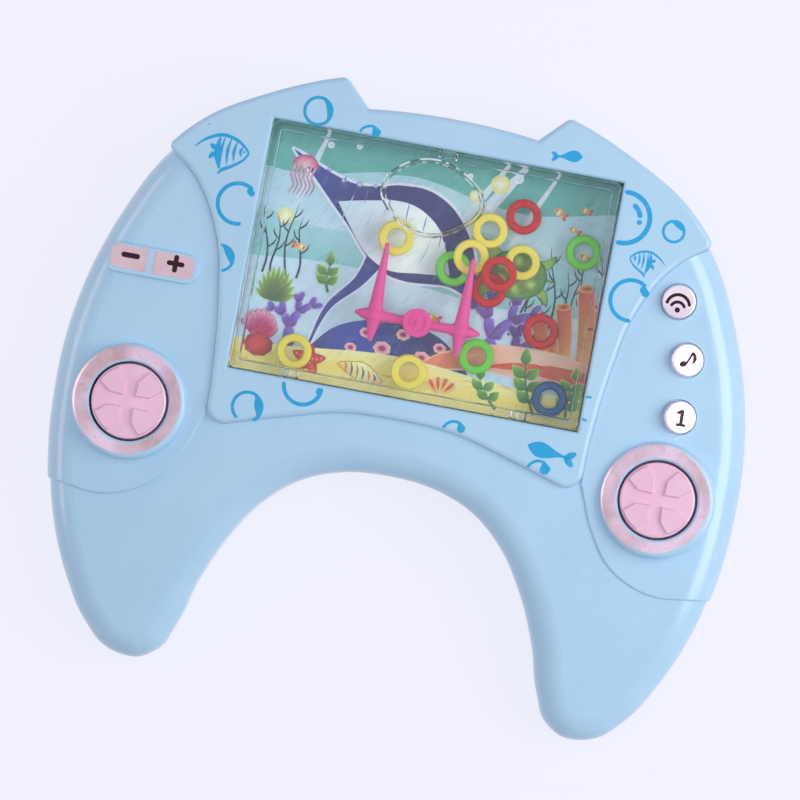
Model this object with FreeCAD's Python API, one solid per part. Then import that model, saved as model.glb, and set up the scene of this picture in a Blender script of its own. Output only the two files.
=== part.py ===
import FreeCAD, Part
import math
import os
from FreeCAD import Placement, Rotation, Vector

# A hand-held water ring toss game shaped like a game pad, lying on its back.
# X runs across the handles, +Y towards the two ears, +Z out of the window.
# The origin is under the middle of the outline, on the surface it lies on.
# All lengths are in millimetres and all angles in degrees.

# Overall size. What lies across the front follows the width by shares.
TOY_WIDTH = 120.0
TOY_LENGTH_SHARE = 0.8783

# Shells
CROWN_RADIUS = 480.0
CROWN_CENTRE_SHARE = 0.3795
CROWN_TOP_Z = 17.2
FRONT_EDGE_RADIUS = 5.0
BACK_EDGE_RADIUS = 4.0
SHELL_WALL = 1.8
PARTING_Z = 5.5
SEAM_GAP = 0.15
LIP_THICKNESS = 0.9
LIP_HEIGHT = 0.9
LIP_CLEARANCE = 0.1
WING_RAISE = 0.45
WING_EDGE_RADIUS = 0.4

# Front cover with the two ears
COVER_RAISE = 1.45
COVER_OVERHANG = 1.2
COVER_SKIRT_Z = 9.5
COVER_SEAT_GAP = 0.05
COVER_CORNER_RADIUS = 3.0
COVER_EAR_RADIUS = 1.4
COVER_SHOULDER_RADIUS = 1.3
COVER_RIM_RADIUS = 0.95
COVER_WINDOW_RADIUS = 0.5
COVER_PEG_RADIUS = 1.0
COVER_PEG_LENGTH = 3.6
COVER_PEG_CLEARANCE = 0.1

# Water tank
TANK_WIDTH_SHARE = 0.5083
TANK_LENGTH_SHARE = 0.3608
TANK_CENTRE_SHARE = 0.4089
TANK_RAISE = 2.1
TANK_FLOOR_Z = 9.0
TANK_WALL = 1.4
TANK_WINDOW = 1.3
TANK_CORNER_RADIUS = 1.2
TANK_INNER_CORNER_RADIUS = 0.7
TANK_EDGE_RADIUS = 0.45
TANK_CLEARANCE = 0.15
BACK_PLATE_THICKNESS = 1.2
BACK_PLATE_FLANGE = 1.3
PICTURE_THICKNESS = 0.3
COLLAR_WALL = 1.2
COLLAR_GAP = 0.05
SUPPORT_RIB_THICKNESS = 1.6
SUPPORT_RIB_INSET_SHARE = 0.2079
SUPPORT_RIB_LENGTH_SHARE = 0.8525

# Filler neck and its plug, between the ears
FILLER_Z = 12.2
FILLER_NECK_RADIUS = 2.7
FILLER_BORE_RADIUS = 1.8
FILLER_NECK_END_GAP = 0.3
PLUG_CLEARANCE = 0.06
PLUG_HEAD_RADIUS = 2.8
PLUG_HEAD_GAP = 0.05
PLUG_SLOT_CLEARANCE = 0.25
PLUG_GROOVE_WIDTH = 0.8
PLUG_GROOVE_DEPTH = 0.5

# Peg rack inside the tank
RACK_CENTRE_SHARE = 0.3072
RACK_Z = 13.2
SPIKE_SPACING_SHARE = 0.2475
SPIKE_TOP_SHARE = 0.6005
SPIKE_BOTTOM_SHARE = 0.2009
SPIKE_RADIUS = 1.15
SPIKE_TIP_RADIUS = 0.38
FOOT_RADIUS = 0.95
FOOT_TIP_RADIUS = 0.48
ARM_RADIUS = 0.85
ARM_TIP_RADIUS = 0.36
BAR_RADIUS = 0.9
BAR_TIP_SHARE = 0.3607
FLARE_RADIUS = 1.5
FLARE_LENGTH = 2.1
RACK_JOINT_RADIUS = 1.6
BAR_END_SHARE = 0.9
RACK_BOSS_RADIUS = 2.5
RACK_BOSS_HEIGHT = 3.6
RACK_RING_RADIUS = 1.55
RACK_RING_DEPTH = 0.25
RACK_RING_WIDTH = 0.35
RACK_NUB_RADIUS = 0.5
STUD_RADIUS = 1.35
STUD_SHOULDER_RADIUS = 2.2
STUD_CLEARANCE = 0.05
STUD_HOLE_DEPTH = 2.6

# Loose rings
RING_RADIUS_SHARE = 0.1516
RING_HOLE_SHARE = 0.5375
RING_THICKNESS = 1.5
RING_EDGE_RADIUS = 0.4
RING_REST_GAP = 0.02

# Pump buttons
PUMP_SHARES = (0.7775, -0.1746)
PUMP_RING_SHARE = 0.16793
PUMP_RING_WALL = 3.1
PUMP_RING_RAISE = 2.2
PUMP_RING_EDGE_RADIUS = 1.1
PUMP_BORE_BEVEL = 0.25
PUMP_FOIL_THICKNESS = 0.12
PUMP_FOIL_INSET = 0.65
PUMP_FOIL_SHIFT_X = -0.4
PUMP_FOIL_SHIFT_Y = 0.2
PUMP_GUIDE_WALL = 1.2
PUMP_GUIDE_Z = 10.6
CAP_SKIRT_CLEARANCE = 0.15
CAP_STEP = 0.3
CAP_FLANGE_REACH = 0.6
CAP_FLANGE_THICKNESS = 1.0
CAP_FLANGE_GAP = 0.1
CAP_WALL = 1.5
CAP_SHOULDER_DEPTH = 3.2
CAP_PROUD = 0.6
CAP_RIM_BEVEL = 0.3
CAP_POST_RADIUS = 2.2
PETAL_HEIGHT = 0.6
PETAL_BEVEL = 0.3

# Rubber pump bulbs and hoses
BULB_RADIUS_SHARE = 0.66
BULB_FLANGE_REACH = 0.9
BULB_FLANGE_THICKNESS = 0.8
BULB_WALL = 0.9
BULB_CROWN_SHARE = 0.5455
BULB_SHOULDER_HEIGHT = 4.6
BULB_TOP_GAP = 0.1
BULB_SEAT_WALL = 1.1
BULB_SEAT_HEIGHT = 2.0
BULB_SEAT_CLEARANCE = 0.15
BULB_STUB_Z = 4.4
STUB_RADIUS = 1.1
STUB_BORE_RADIUS = 0.6
HOSE_RADIUS = 1.6
HOSE_FIT_CLEARANCE = 0.05
HOSE_END_GAP = 0.3
HOSE_GRIP = 2.2
HOSE_END_RUN = 4.6
HOSE_BEND_SHARE = 0.45
HOSE_SLOT_CLEARANCE = 0.3

# Jet nozzles through the lower wall of the tank
JET_SHARE = 0.3359
JET_Z = 11.4
JET_RADIUS = 1.5
JET_HOLE_CLEARANCE = 0.05
JET_ELBOW_REACH = 4.5
JET_ELBOW_RADIUS = 1.8
JET_ELBOW_HEIGHT = 3.4
JET_HOSE_START = 2.1
JET_SLOT_CLEARANCE = 0.4

# Volume pill on the left wing
PILL_SHARES = (-0.7775, 0.2839)
PILL_LENGTH_SHARE = 0.2704
PILL_WIDTH = 5.15
PILL_RAISE = 0.9
PILL_LEFT_RADIUS = 1.4
PILL_RIGHT_RADIUS = 2.45
PILL_EDGE_RADIUS = 0.3
PILL_FOIL_END_INSET = 0.725
PILL_FOIL_SIDE_INSET = 0.6
PILL_FOIL_SHIFT_X = -0.375
PILL_FOIL_SHIFT_Y = 0.225
PILL_FOIL_CORNER_RADIUS = 1.3
PILL_FOIL_THICKNESS = 0.1
PILL_DIVIDER_X = -0.66
PILL_DIVIDER_WIDTH = 1.3

# Round button caps on the right wing, all with the same stem
CAP_SEAT_DEPTH = 0.75
CAP_SEAT_CLEARANCE = 0.3
CAP_HEIGHT = 1.5
CAP_EDGE_RADIUS = 0.35
STEM_RADIUS = 1.2
STEM_LENGTH = 2.6
STEM_CLEARANCE = 0.05

# Screws from the back
POST_RADIUS = 2.75
TOWER_RADIUS = 3.6
HEAD_SEAT_Z = 2.6
HEAD_POCKET_RADIUS = 2.6
SCREW_HEAD_RADIUS = 2.3
SCREW_HEAD_HEIGHT = 1.5
SCREW_SHANK_RADIUS = 1.0
SCREW_HOLE_CLEARANCE = 0.05
SCREW_PASS_CLEARANCE = 0.3
SCREW_LENGTH = 5.8
SCREW_TIP_LENGTH = 0.8
SCREW_TIP_RADIUS = 0.33
SCREW_SLOT_LENGTH = 3.0
SCREW_SLOT_WIDTH = 0.6
SCREW_SLOT_DEPTH = 0.7
PILOT_DEPTH = 3.5

# One overrun for every cut, and how close counts as touching
OVERRUN = 3.0
TOUCH = 0.01
# Offset style that keeps sharp corners sharp
SHARP_JOIN = 2

# Half outline of the shells from the top middle to the arch, as shares of the
# half width and half length. A third value is the heading where it is fixed.
OUTLINE_SHARES = (
    (0.0, 1.001, 0),
    (0.313, 0.979),
    (0.505, 0.896),
    (0.720, 0.745),
    (0.804, 0.634),
    (0.900, 0.423),
    (0.975, 0.150),
    (1.0, -0.130, 270),
    (0.990, -0.345),
    (0.949, -0.575),
    (0.884, -0.758),
    (0.799, -0.910),
    (0.730, -0.980),
    (0.650, -1.0, 180),
    (0.574, -0.960),
    (0.531, -0.863),
    (0.492, -0.712),
    (0.435, -0.564),
    (0.353, -0.423),
    (0.252, -0.326),
    (0.134, -0.275),
    (0.0, -0.260, 180),
)
# Notch between the ears: middle, root and a point past the ear
NOTCH_SHARES = ((0.0, 0.926), (0.2495, 0.908), (0.451, 1.1395))
# Edge of the front cover over the shells: below the window, then up the side
COVER_LOWER_SHARES = ((0.0, -0.074, 0), (0.168, -0.085), (0.336, -0.135), (0.552, -0.210))
COVER_SIDE_SHARES = (
    (0.552, -0.210, 89),
    (0.558, 0.0),
    (0.578, 0.209),
    (0.613, 0.398),
    (0.688, 0.560),
    (0.850, 0.712),
)
# Lower edge of the raised wing
WING_SHARES = (
    (0.520, -0.090),
    (0.558, -0.190),
    (0.600, -0.304),
    (0.680, -0.427),
    (0.773, -0.480),
    (0.957, -0.474),
    (1.120, -0.430),
)
# A corner outside the outline, for the regions that are open there
OUTSIDE_SHARE = 1.25
# Raised quarter of the pump cap, as shares of the cap radius
PETAL_SHARES = ((0.125, 0.125), (0.145, 0.56), (0.42, 0.90), (0.90, 0.90), (0.90, 0.42), (0.56, 0.145))
PETAL_RIM_SHARE = 0.975
# Places of the pegs of the cover and of the screws, each on both sides
PEG_SHARES = ((0.4954, -0.1063), (0.5777, 0.7704))
SCREW_SHARES = ((0.6213, 0.6755), (0.6583, 0.0759), (0.6818, -0.7780))
# Round caps: name, place, radius as a share of the half width, then how many
# degrees the cap leans and towards which heading
CAP_SHARES = (
    ("signal_cap", 0.7325, 0.4748, 0.0487, 0, 0),
    ("music_cap", 0.7842, 0.2903, 0.0479, 12, 35),
    ("number_cap", 0.7926, 0.1034, 0.0479, 13, 20),
)

# Ring places as shares of the room in the tank: name, across, along and how
# many rings lie under it
RING_SHARES = (
    ("ring_yellow_1", -0.2459, 0.3174, 0),
    ("ring_yellow_2", 0.3573, 0.5618, 0),
    ("ring_yellow_3", 0.2689, 0.2650, 1),
    ("ring_yellow_4", 0.6070, 0.3057, 0),
    ("ring_yellow_5", -0.7761, -0.9924, 0),
    ("ring_yellow_6", -0.0038, -0.9866, 0),
    ("ring_red_1", 0.5609, 0.7598, 0),
    ("ring_red_2", 0.4726, 0.1485, 2),
    ("ring_red_3", 0.4226, -0.0261, 0),
    ("ring_red_4", 0.8107, -0.3404, 0),
    ("ring_green_1", 0.1652, 0.1194, 0),
    ("ring_green_2", 0.9951, 0.5153, 0),
    ("ring_green_3", 0.4188, -0.7072, 0),
    ("ring_blue_1", 0.9490, -0.9924, 0),
)

HALF_WIDTH = TOY_WIDTH / 2 - WING_RAISE
HALF_LENGTH = TOY_LENGTH_SHARE * TOY_WIDTH / 2
CROWN_CENTRE_Y = CROWN_CENTRE_SHARE * HALF_LENGTH
SPHERE_CENTRE = Vector(0, CROWN_CENTRE_Y, CROWN_TOP_Z - CROWN_RADIUS)
TANK_WIDTH = TANK_WIDTH_SHARE * TOY_WIDTH
TANK_LENGTH = TANK_LENGTH_SHARE * TOY_WIDTH
TANK_CENTRE_Y = TANK_CENTRE_SHARE * HALF_LENGTH
TANK_TOP_Z = CROWN_TOP_Z + TANK_RAISE
TANK_LOW_Y = TANK_CENTRE_Y - TANK_LENGTH / 2
TANK_HIGH_Y = TANK_CENTRE_Y + TANK_LENGTH / 2
PLATE_Z = TANK_FLOOR_Z - BACK_PLATE_THICKNESS
PICTURE_Z = PLATE_Z - PICTURE_THICKNESS
NOTCH_Y = NOTCH_SHARES[0][1] * HALF_LENGTH
SHELL_NOTCH_Y = NOTCH_Y - COVER_OVERHANG
RACK_CENTRE_Y = TANK_LOW_Y + RACK_CENTRE_SHARE * TANK_LENGTH
SPIKE_SPACING = SPIKE_SPACING_SHARE * TANK_WIDTH
SPIKE_TOP_Y = TANK_LOW_Y + SPIKE_TOP_SHARE * TANK_LENGTH
SPIKE_BOTTOM_Y = TANK_LOW_Y + SPIKE_BOTTOM_SHARE * TANK_LENGTH
BAR_TIP_X = BAR_TIP_SHARE * TANK_WIDTH / 2
ROOM_HALF_WIDTH = TANK_WIDTH / 2 - TANK_WALL
ROOM_HALF_LENGTH = TANK_LENGTH / 2 - TANK_WALL
RING_OUTER_RADIUS = RING_RADIUS_SHARE * ROOM_HALF_LENGTH
RING_HOLE_RADIUS = RING_HOLE_SHARE * RING_OUTER_RADIUS
PUMP_X = PUMP_SHARES[0] * HALF_WIDTH
PUMP_Y = PUMP_SHARES[1] * HALF_LENGTH
PUMP_RING_RADIUS = PUMP_RING_SHARE * HALF_WIDTH
PUMP_BORE_RADIUS = PUMP_RING_RADIUS - PUMP_RING_WALL
CAP_SKIRT_RADIUS = PUMP_BORE_RADIUS - CAP_SKIRT_CLEARANCE
CAP_RADIUS = CAP_SKIRT_RADIUS - CAP_STEP
CAP_FLANGE_RADIUS = PUMP_BORE_RADIUS + CAP_FLANGE_REACH
BULB_RADIUS = BULB_RADIUS_SHARE * PUMP_RING_RADIUS
BULB_FLANGE_RADIUS = BULB_RADIUS + BULB_FLANGE_REACH
BULB_CROWN_RADIUS = BULB_CROWN_SHARE * BULB_RADIUS
JET_X = JET_SHARE * HALF_WIDTH
JET_ELBOW_Y = TANK_LOW_Y - JET_ELBOW_REACH
PILL_X = PILL_SHARES[0] * HALF_WIDTH
PILL_Y = PILL_SHARES[1] * HALF_LENGTH
PILL_LENGTH = PILL_LENGTH_SHARE * HALF_WIDTH
PATH_Z = Vector(0, 0, 1)


def crown_z(x, y, raised=0.0):
    """Height of the crowned front above the table at one place."""
    across = math.hypot(x, y - CROWN_CENTRE_Y)
    return SPHERE_CENTRE.z + math.sqrt((CROWN_RADIUS + raised) ** 2 - across**2)


def at_shares(point):
    """Place of one outline point given in shares."""
    return Vector(point[0] * HALF_WIDTH, point[1] * HALF_LENGTH, 0)


def arc_from(start, heading, end):
    """Arc, or line, that leaves start along heading and ends at end."""
    chord = end - start
    side = Vector(-heading.y, heading.x, 0)
    lean = chord.dot(side)
    if abs(lean) < chord.Length * 1e-6:
        return Part.LineSegment(start, end).toShape()
    radius = chord.dot(chord) / (2 * lean)
    centre = start + side * radius
    out = (start + end) * 0.5 - centre
    out.normalize()
    return Part.Arc(start, centre + out * abs(radius), end).toShape()


def arc_into(start, end, heading):
    """Arc, or line, that arrives at end along heading."""
    turned = arc_from(end, heading * -1, start)
    if len(turned.Vertexes) == 2 and turned.Curve.TypeId == "Part::GeomLine":
        return Part.LineSegment(start, end).toShape()
    middle = turned.valueAt((turned.FirstParameter + turned.LastParameter) / 2)
    return Part.Arc(start, middle, end).toShape()


def smooth_path(shares):
    """Arc pairs through outline points, with one tangent at each point."""
    points = [at_shares(p) for p in shares]
    headings = []
    for i, p in enumerate(shares):
        if len(p) == 3:
            turn = math.radians(p[2])
            headings.append(Vector(math.cos(turn), math.sin(turn), 0))
            continue
        back = points[i] - points[max(i - 1, 0)]
        ahead = points[min(i + 1, len(points) - 1)] - points[i]
        if back.Length == 0 or ahead.Length == 0:
            heading = back + ahead
        else:
            heading = back * (ahead.Length / back.Length) + ahead * (back.Length / ahead.Length)
        heading.normalize()
        headings.append(heading)
    edges = []
    for start, end, leave, arrive in zip(points, points[1:], headings, headings[1:]):
        chord = end - start
        both = chord.dot(leave + arrive)
        bend = 2 * (1 - leave.dot(arrive))
        if bend < 1e-9:
            reach = chord.dot(chord) / (4 * chord.dot(arrive))
        else:
            reach = (math.sqrt(both**2 + bend * chord.dot(chord)) - both) / bend
        joint = (start + end + (leave - arrive) * reach) * 0.5
        edges.append(arc_from(start, leave, joint))
        edges.append(arc_into(joint, end, arrive))
    return edges


def mirrored(shape):
    """The same shape on the other side of the middle plane."""
    return shape.mirror(Vector(0, 0, 0), Vector(1, 0, 0))


def face_of(edges):
    """Flat face inside a closed run of edges."""
    return Part.Face(Part.Wire(Part.__sortEdges__(edges)))


def lines(points):
    """Straight edges from point to point."""
    return [Part.LineSegment(a, b).toShape() for a, b in zip(points, points[1:])]


def body_face():
    """Outline of the shells with the notch still filled."""
    half = smooth_path(OUTLINE_SHARES)
    return face_of(half + [mirrored(e) for e in half])


def notch_face():
    """What is cut away between the ears at the edge of the cover."""
    middle, root, past = [at_shares(p) for p in NOTCH_SHARES]
    far = Vector(past.x, OUTSIDE_SHARE * HALF_LENGTH, 0)
    right = [root, past, far]
    left = [Vector(-p.x, p.y, 0) for p in reversed(right)]
    return face_of([Part.Arc(left[-1], middle, root).toShape()] + lines(right + left))


def cover_face():
    """Region of the front cover, open past the outline at the top."""
    low = smooth_path(COVER_LOWER_SHARES)
    side = smooth_path(COVER_SIDE_SHARES)
    top = OUTSIDE_SHARE * HALF_LENGTH
    wide = OUTSIDE_SHARE * HALF_WIDTH
    shoulder = at_shares(COVER_SIDE_SHARES[-1])
    out = lines([shoulder, Vector(wide, shoulder.y, 0), Vector(wide, top, 0), Vector(0, top, 0)])
    half = low + side + out
    return face_of(half + [mirrored(e) for e in half])


def wing_face():
    """Region of the raised right wing, open past the outline."""
    edge = smooth_path(WING_SHARES)
    start = at_shares(WING_SHARES[0])
    end = at_shares(WING_SHARES[-1])
    top = OUTSIDE_SHARE * HALF_LENGTH
    wide = OUTSIDE_SHARE * HALF_WIDTH
    out = lines([end, Vector(wide, end.y, 0), Vector(wide, top, 0), Vector(start.x, top, 0), start])
    return face_of(edge + out)


def grown(face, by, join=0):
    """Face with its edge moved out by a distance, or in if it is negative."""
    if by == 0:
        return face
    return face.makeOffset2D(by, join, False, False, False)


def prism(face, low, high):
    """Straight solid over a face between two heights."""
    solid = face.extrude(Vector(0, 0, high - low))
    solid.translate(Vector(0, 0, low))
    return solid


def cylinder(radius, start, along, length):
    """Round solid from a start point along a direction."""
    return Part.makeCylinder(radius, length, start, along)


def tube(outer, inner, x, y, low, high):
    """Upright ring-shaped wall."""
    wall = cylinder(outer, Vector(x, y, low), PATH_Z, high - low)
    return wall.cut(cylinder(inner, Vector(x, y, low - OVERRUN), PATH_Z, high - low + 2 * OVERRUN))


def crown_sphere(raised):
    """Ball whose top is the crowned front."""
    return Part.makeSphere(CROWN_RADIUS + raised, SPHERE_CENTRE)


def level_edges(shape, low, high):
    """Edges that lie wholly between two heights."""
    found = []
    for edge in shape.Edges:
        heights = [v.Z for v in edge.Vertexes]
        if min(heights) > low and max(heights) < high:
            found.append(edge)
    return found


def top_edges(shape, raised):
    """Edges that lie on the crowned top face."""
    found = []
    for edge in shape.Edges:
        span = edge.LastParameter - edge.FirstParameter
        spots = [edge.valueAt(edge.FirstParameter + span * s / 4) for s in range(5)]
        off = [abs(s.sub(SPHERE_CENTRE).Length - CROWN_RADIUS - raised) for s in spots]
        if max(off) < TOUCH:
            found.append(edge)
    return found


def pillow(by):
    """Rounded body of the toy grown by a distance, with the notch filled."""
    block = prism(grown(body_face(), by), -by, TANK_TOP_Z)
    block = block.common(crown_sphere(by))
    block = block.makeFillet(FRONT_EDGE_RADIUS + by, top_edges(block, by))
    return block.makeFillet(BACK_EDGE_RADIUS + by, level_edges(block, -by - TOUCH, -by + TOUCH))


def notch_block(by):
    """Cutter for the notch, with its edge moved out by a distance."""
    return prism(grown(notch_face(), by, SHARP_JOIN), -OVERRUN, TANK_TOP_Z + OVERRUN)


def halves(by):
    """Body grown by a distance, with its notch."""
    return pillow(by).cut(notch_block(COVER_OVERHANG - by))


def square_body(by):
    """Body grown by a distance with its front edge left square."""
    block = prism(grown(body_face(), by), -by, TANK_TOP_Z)
    return block.common(crown_sphere(by)).cut(notch_block(COVER_OVERHANG - by))


def slab(low, high):
    """Wide layer between two heights."""
    wide = OUTSIDE_SHARE * TOY_WIDTH
    return Part.makeBox(wide, wide, high - low, Vector(-wide / 2, -wide / 2, low))


def tank_block(by, low, high):
    """Upright block on the tank's outline, grown by a distance."""
    width = TANK_WIDTH + 2 * by
    length = TANK_LENGTH + 2 * by
    corner = Vector(-width / 2, TANK_CENTRE_Y - length / 2, low)
    return Part.makeBox(width, length, high - low, corner)


def upright_edges(shape):
    """Straight edges along Z."""
    found = []
    for edge in shape.Edges:
        a, b = edge.Vertexes[0].Point, edge.Vertexes[-1].Point
        if math.hypot(a.x - b.x, a.y - b.y) < TOUCH and abs(a.z - b.z) > TOUCH:
            found.append(edge)
    return found


def on_crown(shape, x, y, raised, lean=0, heading=0):
    """Shape made about the origin, set square to the front or leaning from it."""
    spot = Vector(x, y, crown_z(x, y, raised))
    square = Rotation(PATH_Z, spot - SPHERE_CENTRE)
    turn = math.radians(heading)
    leaning = Rotation(Vector(-math.sin(turn), math.cos(turn), 0), lean).multiply(square)
    shape.Placement = Placement(spot, leaning).multiply(shape.Placement)
    return shape


def bar(length, width, low, high, left, right):
    """Bar along X with one corner radius at its left end and one at its right."""
    block = Part.makeBox(length, width, high - low, Vector(-length / 2, -width / 2, low))
    for side, radius in ((-1, left), (1, right)):
        ends = [e for e in upright_edges(block) if side * e.Vertexes[0].X > length / 2 - TOUCH]
        block = block.makeFillet(radius, ends)
    return block


def pill_block():
    """Raised bar under the volume marks, square to the front."""
    block = bar(PILL_LENGTH, PILL_WIDTH, -SHELL_WALL / 2, PILL_RAISE, PILL_LEFT_RADIUS, PILL_RIGHT_RADIUS)
    block = block.makeFillet(PILL_EDGE_RADIUS, level_edges(block, PILL_RAISE - TOUCH, PILL_RAISE + TOUCH))
    return on_crown(block, PILL_X, PILL_Y, WING_RAISE)


def pill_foil(side):
    """Thin metal foil on one half of the pill: -1 is left, 1 is right."""
    length = PILL_LENGTH - 2 * PILL_FOIL_END_INSET
    width = PILL_WIDTH - 2 * PILL_FOIL_SIDE_INSET
    corner = PILL_FOIL_CORNER_RADIUS
    sheet = bar(length, width, PILL_RAISE, PILL_RAISE + PILL_FOIL_THICKNESS, corner, corner)
    sheet.translate(Vector(PILL_FOIL_SHIFT_X, PILL_FOIL_SHIFT_Y, 0))
    start = PILL_DIVIDER_X + side * PILL_DIVIDER_WIDTH / 2
    low = Vector(start if side > 0 else start - PILL_LENGTH, -PILL_WIDTH, 0)
    sheet = sheet.common(Part.makeBox(PILL_LENGTH, 2 * PILL_WIDTH, PILL_RAISE + OVERRUN, low))
    return on_crown(sheet, PILL_X, PILL_Y, WING_RAISE)


def small_cap(x, y, radius, lean, heading):
    """Round button cap with its stem through the shell."""
    cap = cylinder(radius, Vector(0, 0, -CAP_SEAT_DEPTH), PATH_Z, CAP_SEAT_DEPTH + CAP_HEIGHT)
    cap = cap.makeFillet(CAP_EDGE_RADIUS, level_edges(cap, CAP_HEIGHT - TOUCH, CAP_HEIGHT + TOUCH))
    foot = CAP_SEAT_DEPTH + STEM_LENGTH
    cap = cap.fuse(cylinder(STEM_RADIUS, Vector(0, 0, -foot), PATH_Z, foot))
    return on_crown(cap, x, y, WING_RAISE, lean, heading)


def small_cap_cut(x, y, radius, lean, heading):
    """Seat and stem hole of a round button cap."""
    seat = cylinder(radius + CAP_SEAT_CLEARANCE, Vector(0, 0, -CAP_SEAT_DEPTH), PATH_Z, OVERRUN)
    depth = SHELL_WALL + WING_RAISE + OVERRUN
    hole = cylinder(STEM_RADIUS + STEM_CLEARANCE, Vector(0, 0, -depth), PATH_Z, depth)
    return on_crown(seat.fuse(hole), x, y, WING_RAISE, lean, heading)


SMALL_CAPS = [
    (name, x * HALF_WIDTH, y * HALF_LENGTH, radius * HALF_WIDTH, lean, heading)
    for name, x, y, radius, lean, heading in CAP_SHARES
]
SCREW_PLACES = [(side * x * HALF_WIDTH, y * HALF_LENGTH) for x, y in SCREW_SHARES for side in (-1, 1)]
PEG_PLACES = [(side * x * HALF_WIDTH, y * HALF_LENGTH) for x, y in PEG_SHARES for side in (-1, 1)]
PUMP_PAD_Z = crown_z(PUMP_X, PUMP_Y, WING_RAISE)
PUMP_RING_Z = PUMP_PAD_Z + PUMP_RING_RAISE


def revolved(profile, x, y):
    """Solid turned about an upright axis from radius and height points."""
    points = [Vector(r, 0, z) for r, z in profile]
    solid = Part.Face(Part.makePolygon(points + [points[0]])).revolve(Vector(0, 0, 0), PATH_Z, 360)
    solid.translate(Vector(x, y, 0))
    return solid


def pump_ring(grown_by):
    """Raised ring of the shell round a pump cap, grown by a distance."""
    foot = crown_z(PUMP_X + PUMP_RING_RADIUS, PUMP_Y, 0) - SHELL_WALL
    top = PUMP_RING_Z + grown_by
    post = cylinder(PUMP_RING_RADIUS + grown_by, Vector(PUMP_X, PUMP_Y, foot), PATH_Z, top - foot)
    return post.makeFillet(PUMP_RING_EDGE_RADIUS + grown_by, level_edges(post, top - TOUCH, top + TOUCH))


def pump_bore():
    """Cutter for the bore of a pump cap, bevelled at its top."""
    bevel = PUMP_BORE_RADIUS + PUMP_BORE_BEVEL
    profile = (
        (0, 0),
        (PUMP_BORE_RADIUS, 0),
        (PUMP_BORE_RADIUS, PUMP_RING_Z - PUMP_BORE_BEVEL),
        (bevel, PUMP_RING_Z),
        (bevel, PUMP_RING_Z + OVERRUN),
        (0, PUMP_RING_Z + OVERRUN),
    )
    return revolved(profile, PUMP_X, PUMP_Y)


def pump_foil(side):
    """Foil stamped a little off centre over the top of a pump ring."""
    radius = PUMP_RING_RADIUS - PUMP_FOIL_INSET
    low = PUMP_RING_Z - PUMP_RING_EDGE_RADIUS
    start = Vector(PUMP_X + side * PUMP_FOIL_SHIFT_X, PUMP_Y + PUMP_FOIL_SHIFT_Y, low)
    stamp = cylinder(radius, start, PATH_Z, 2 * PUMP_RING_EDGE_RADIUS)
    inner = PUMP_BORE_RADIUS + PUMP_BORE_BEVEL + PUMP_FOIL_THICKNESS
    middle = cylinder(inner, Vector(PUMP_X, PUMP_Y, 0), PATH_Z, TANK_TOP_Z + OVERRUN)
    return pump_ring(PUMP_FOIL_THICKNESS).cut([pump_ring(0), middle]).common(stamp)


def front_shell():
    """Front half of the casing with the raised wings, collar and posts."""
    under_cover = prism(cover_face(), PARTING_Z, TANK_TOP_Z)
    outer = halves(0).fuse(square_body(0).common(under_cover))
    grown_body = halves(WING_RAISE)
    cover_space = prism(grown(cover_face(), COVER_SEAT_GAP), 0, TANK_TOP_Z)
    wing = grown_body.common(prism(wing_face(), PARTING_Z, TANK_TOP_Z)).cut(cover_space)
    rim = wing_face().OuterWire
    soft = []
    for edge in top_edges(wing, WING_RAISE):
        middle = edge.valueAt((edge.FirstParameter + edge.LastParameter) / 2)
        middle.z = 0
        if rim.distToShape(Part.Vertex(middle))[0] < TOUCH:
            soft.append(edge)
    wing = wing.makeFillet(WING_EDGE_RADIUS, soft)
    shell = outer.fuse([wing, mirrored(wing)])
    ring = pump_ring(0)
    shell = shell.fuse([ring, mirrored(ring), pill_block()])
    hollow = halves(-SHELL_WALL)
    room = hollow.common(slab(-OVERRUN, TANK_TOP_Z))
    shell = shell.cut(room).common(slab(PARTING_Z + SEAM_GAP, TANK_TOP_Z))
    inside = []
    roof = TANK_TOP_Z
    collar = tank_block(TANK_CLEARANCE + COLLAR_WALL, TANK_FLOOR_Z + COLLAR_GAP, roof)
    inside.append(collar)
    for x, y in SCREW_PLACES:
        inside.append(cylinder(POST_RADIUS, Vector(x, y, PARTING_Z + SEAM_GAP), PATH_Z, roof))
    for side in (-1, 1):
        radius = PUMP_BORE_RADIUS + PUMP_GUIDE_WALL
        inside.append(cylinder(radius, Vector(side * PUMP_X, PUMP_Y, PUMP_GUIDE_Z), PATH_Z, roof))
    hold = halves(-SHELL_WALL / 2)
    shell = shell.fuse([piece.common(hold) for piece in inside])
    bore = pump_bore()
    cuts = [tank_block(TANK_CLEARANCE, 0, TANK_TOP_Z + OVERRUN), bore, mirrored(bore), jet_slot(-1), jet_slot(1)]
    for x, y in SCREW_PLACES:
        start = Vector(x, y, 0)
        radius = SCREW_SHANK_RADIUS + SCREW_HOLE_CLEARANCE
        cuts.append(cylinder(radius, start, PATH_Z, PARTING_Z + SEAM_GAP + PILOT_DEPTH))
    for x, y in PEG_PLACES:
        radius = COVER_PEG_RADIUS + COVER_PEG_CLEARANCE
        cuts.append(cylinder(radius, Vector(x, y, TANK_FLOOR_Z), PATH_Z, TANK_TOP_Z))
    cuts += [small_cap_cut(*place) for name, *place in SMALL_CAPS]
    cuts.append(filler_cut())
    return shell.cut(cuts)


def jet_slot(side):
    """Slot in the collar for a jet nozzle."""
    width = 2 * (JET_ELBOW_RADIUS + JET_SLOT_CLEARANCE)
    high = JET_Z + JET_ELBOW_RADIUS + JET_SLOT_CLEARANCE
    depth = COLLAR_WALL + TANK_CLEARANCE + OVERRUN
    corner = Vector(side * JET_X - width / 2, TANK_LOW_Y - depth, 0)
    return Part.makeBox(width, depth + TANK_WALL, high, corner)


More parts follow.
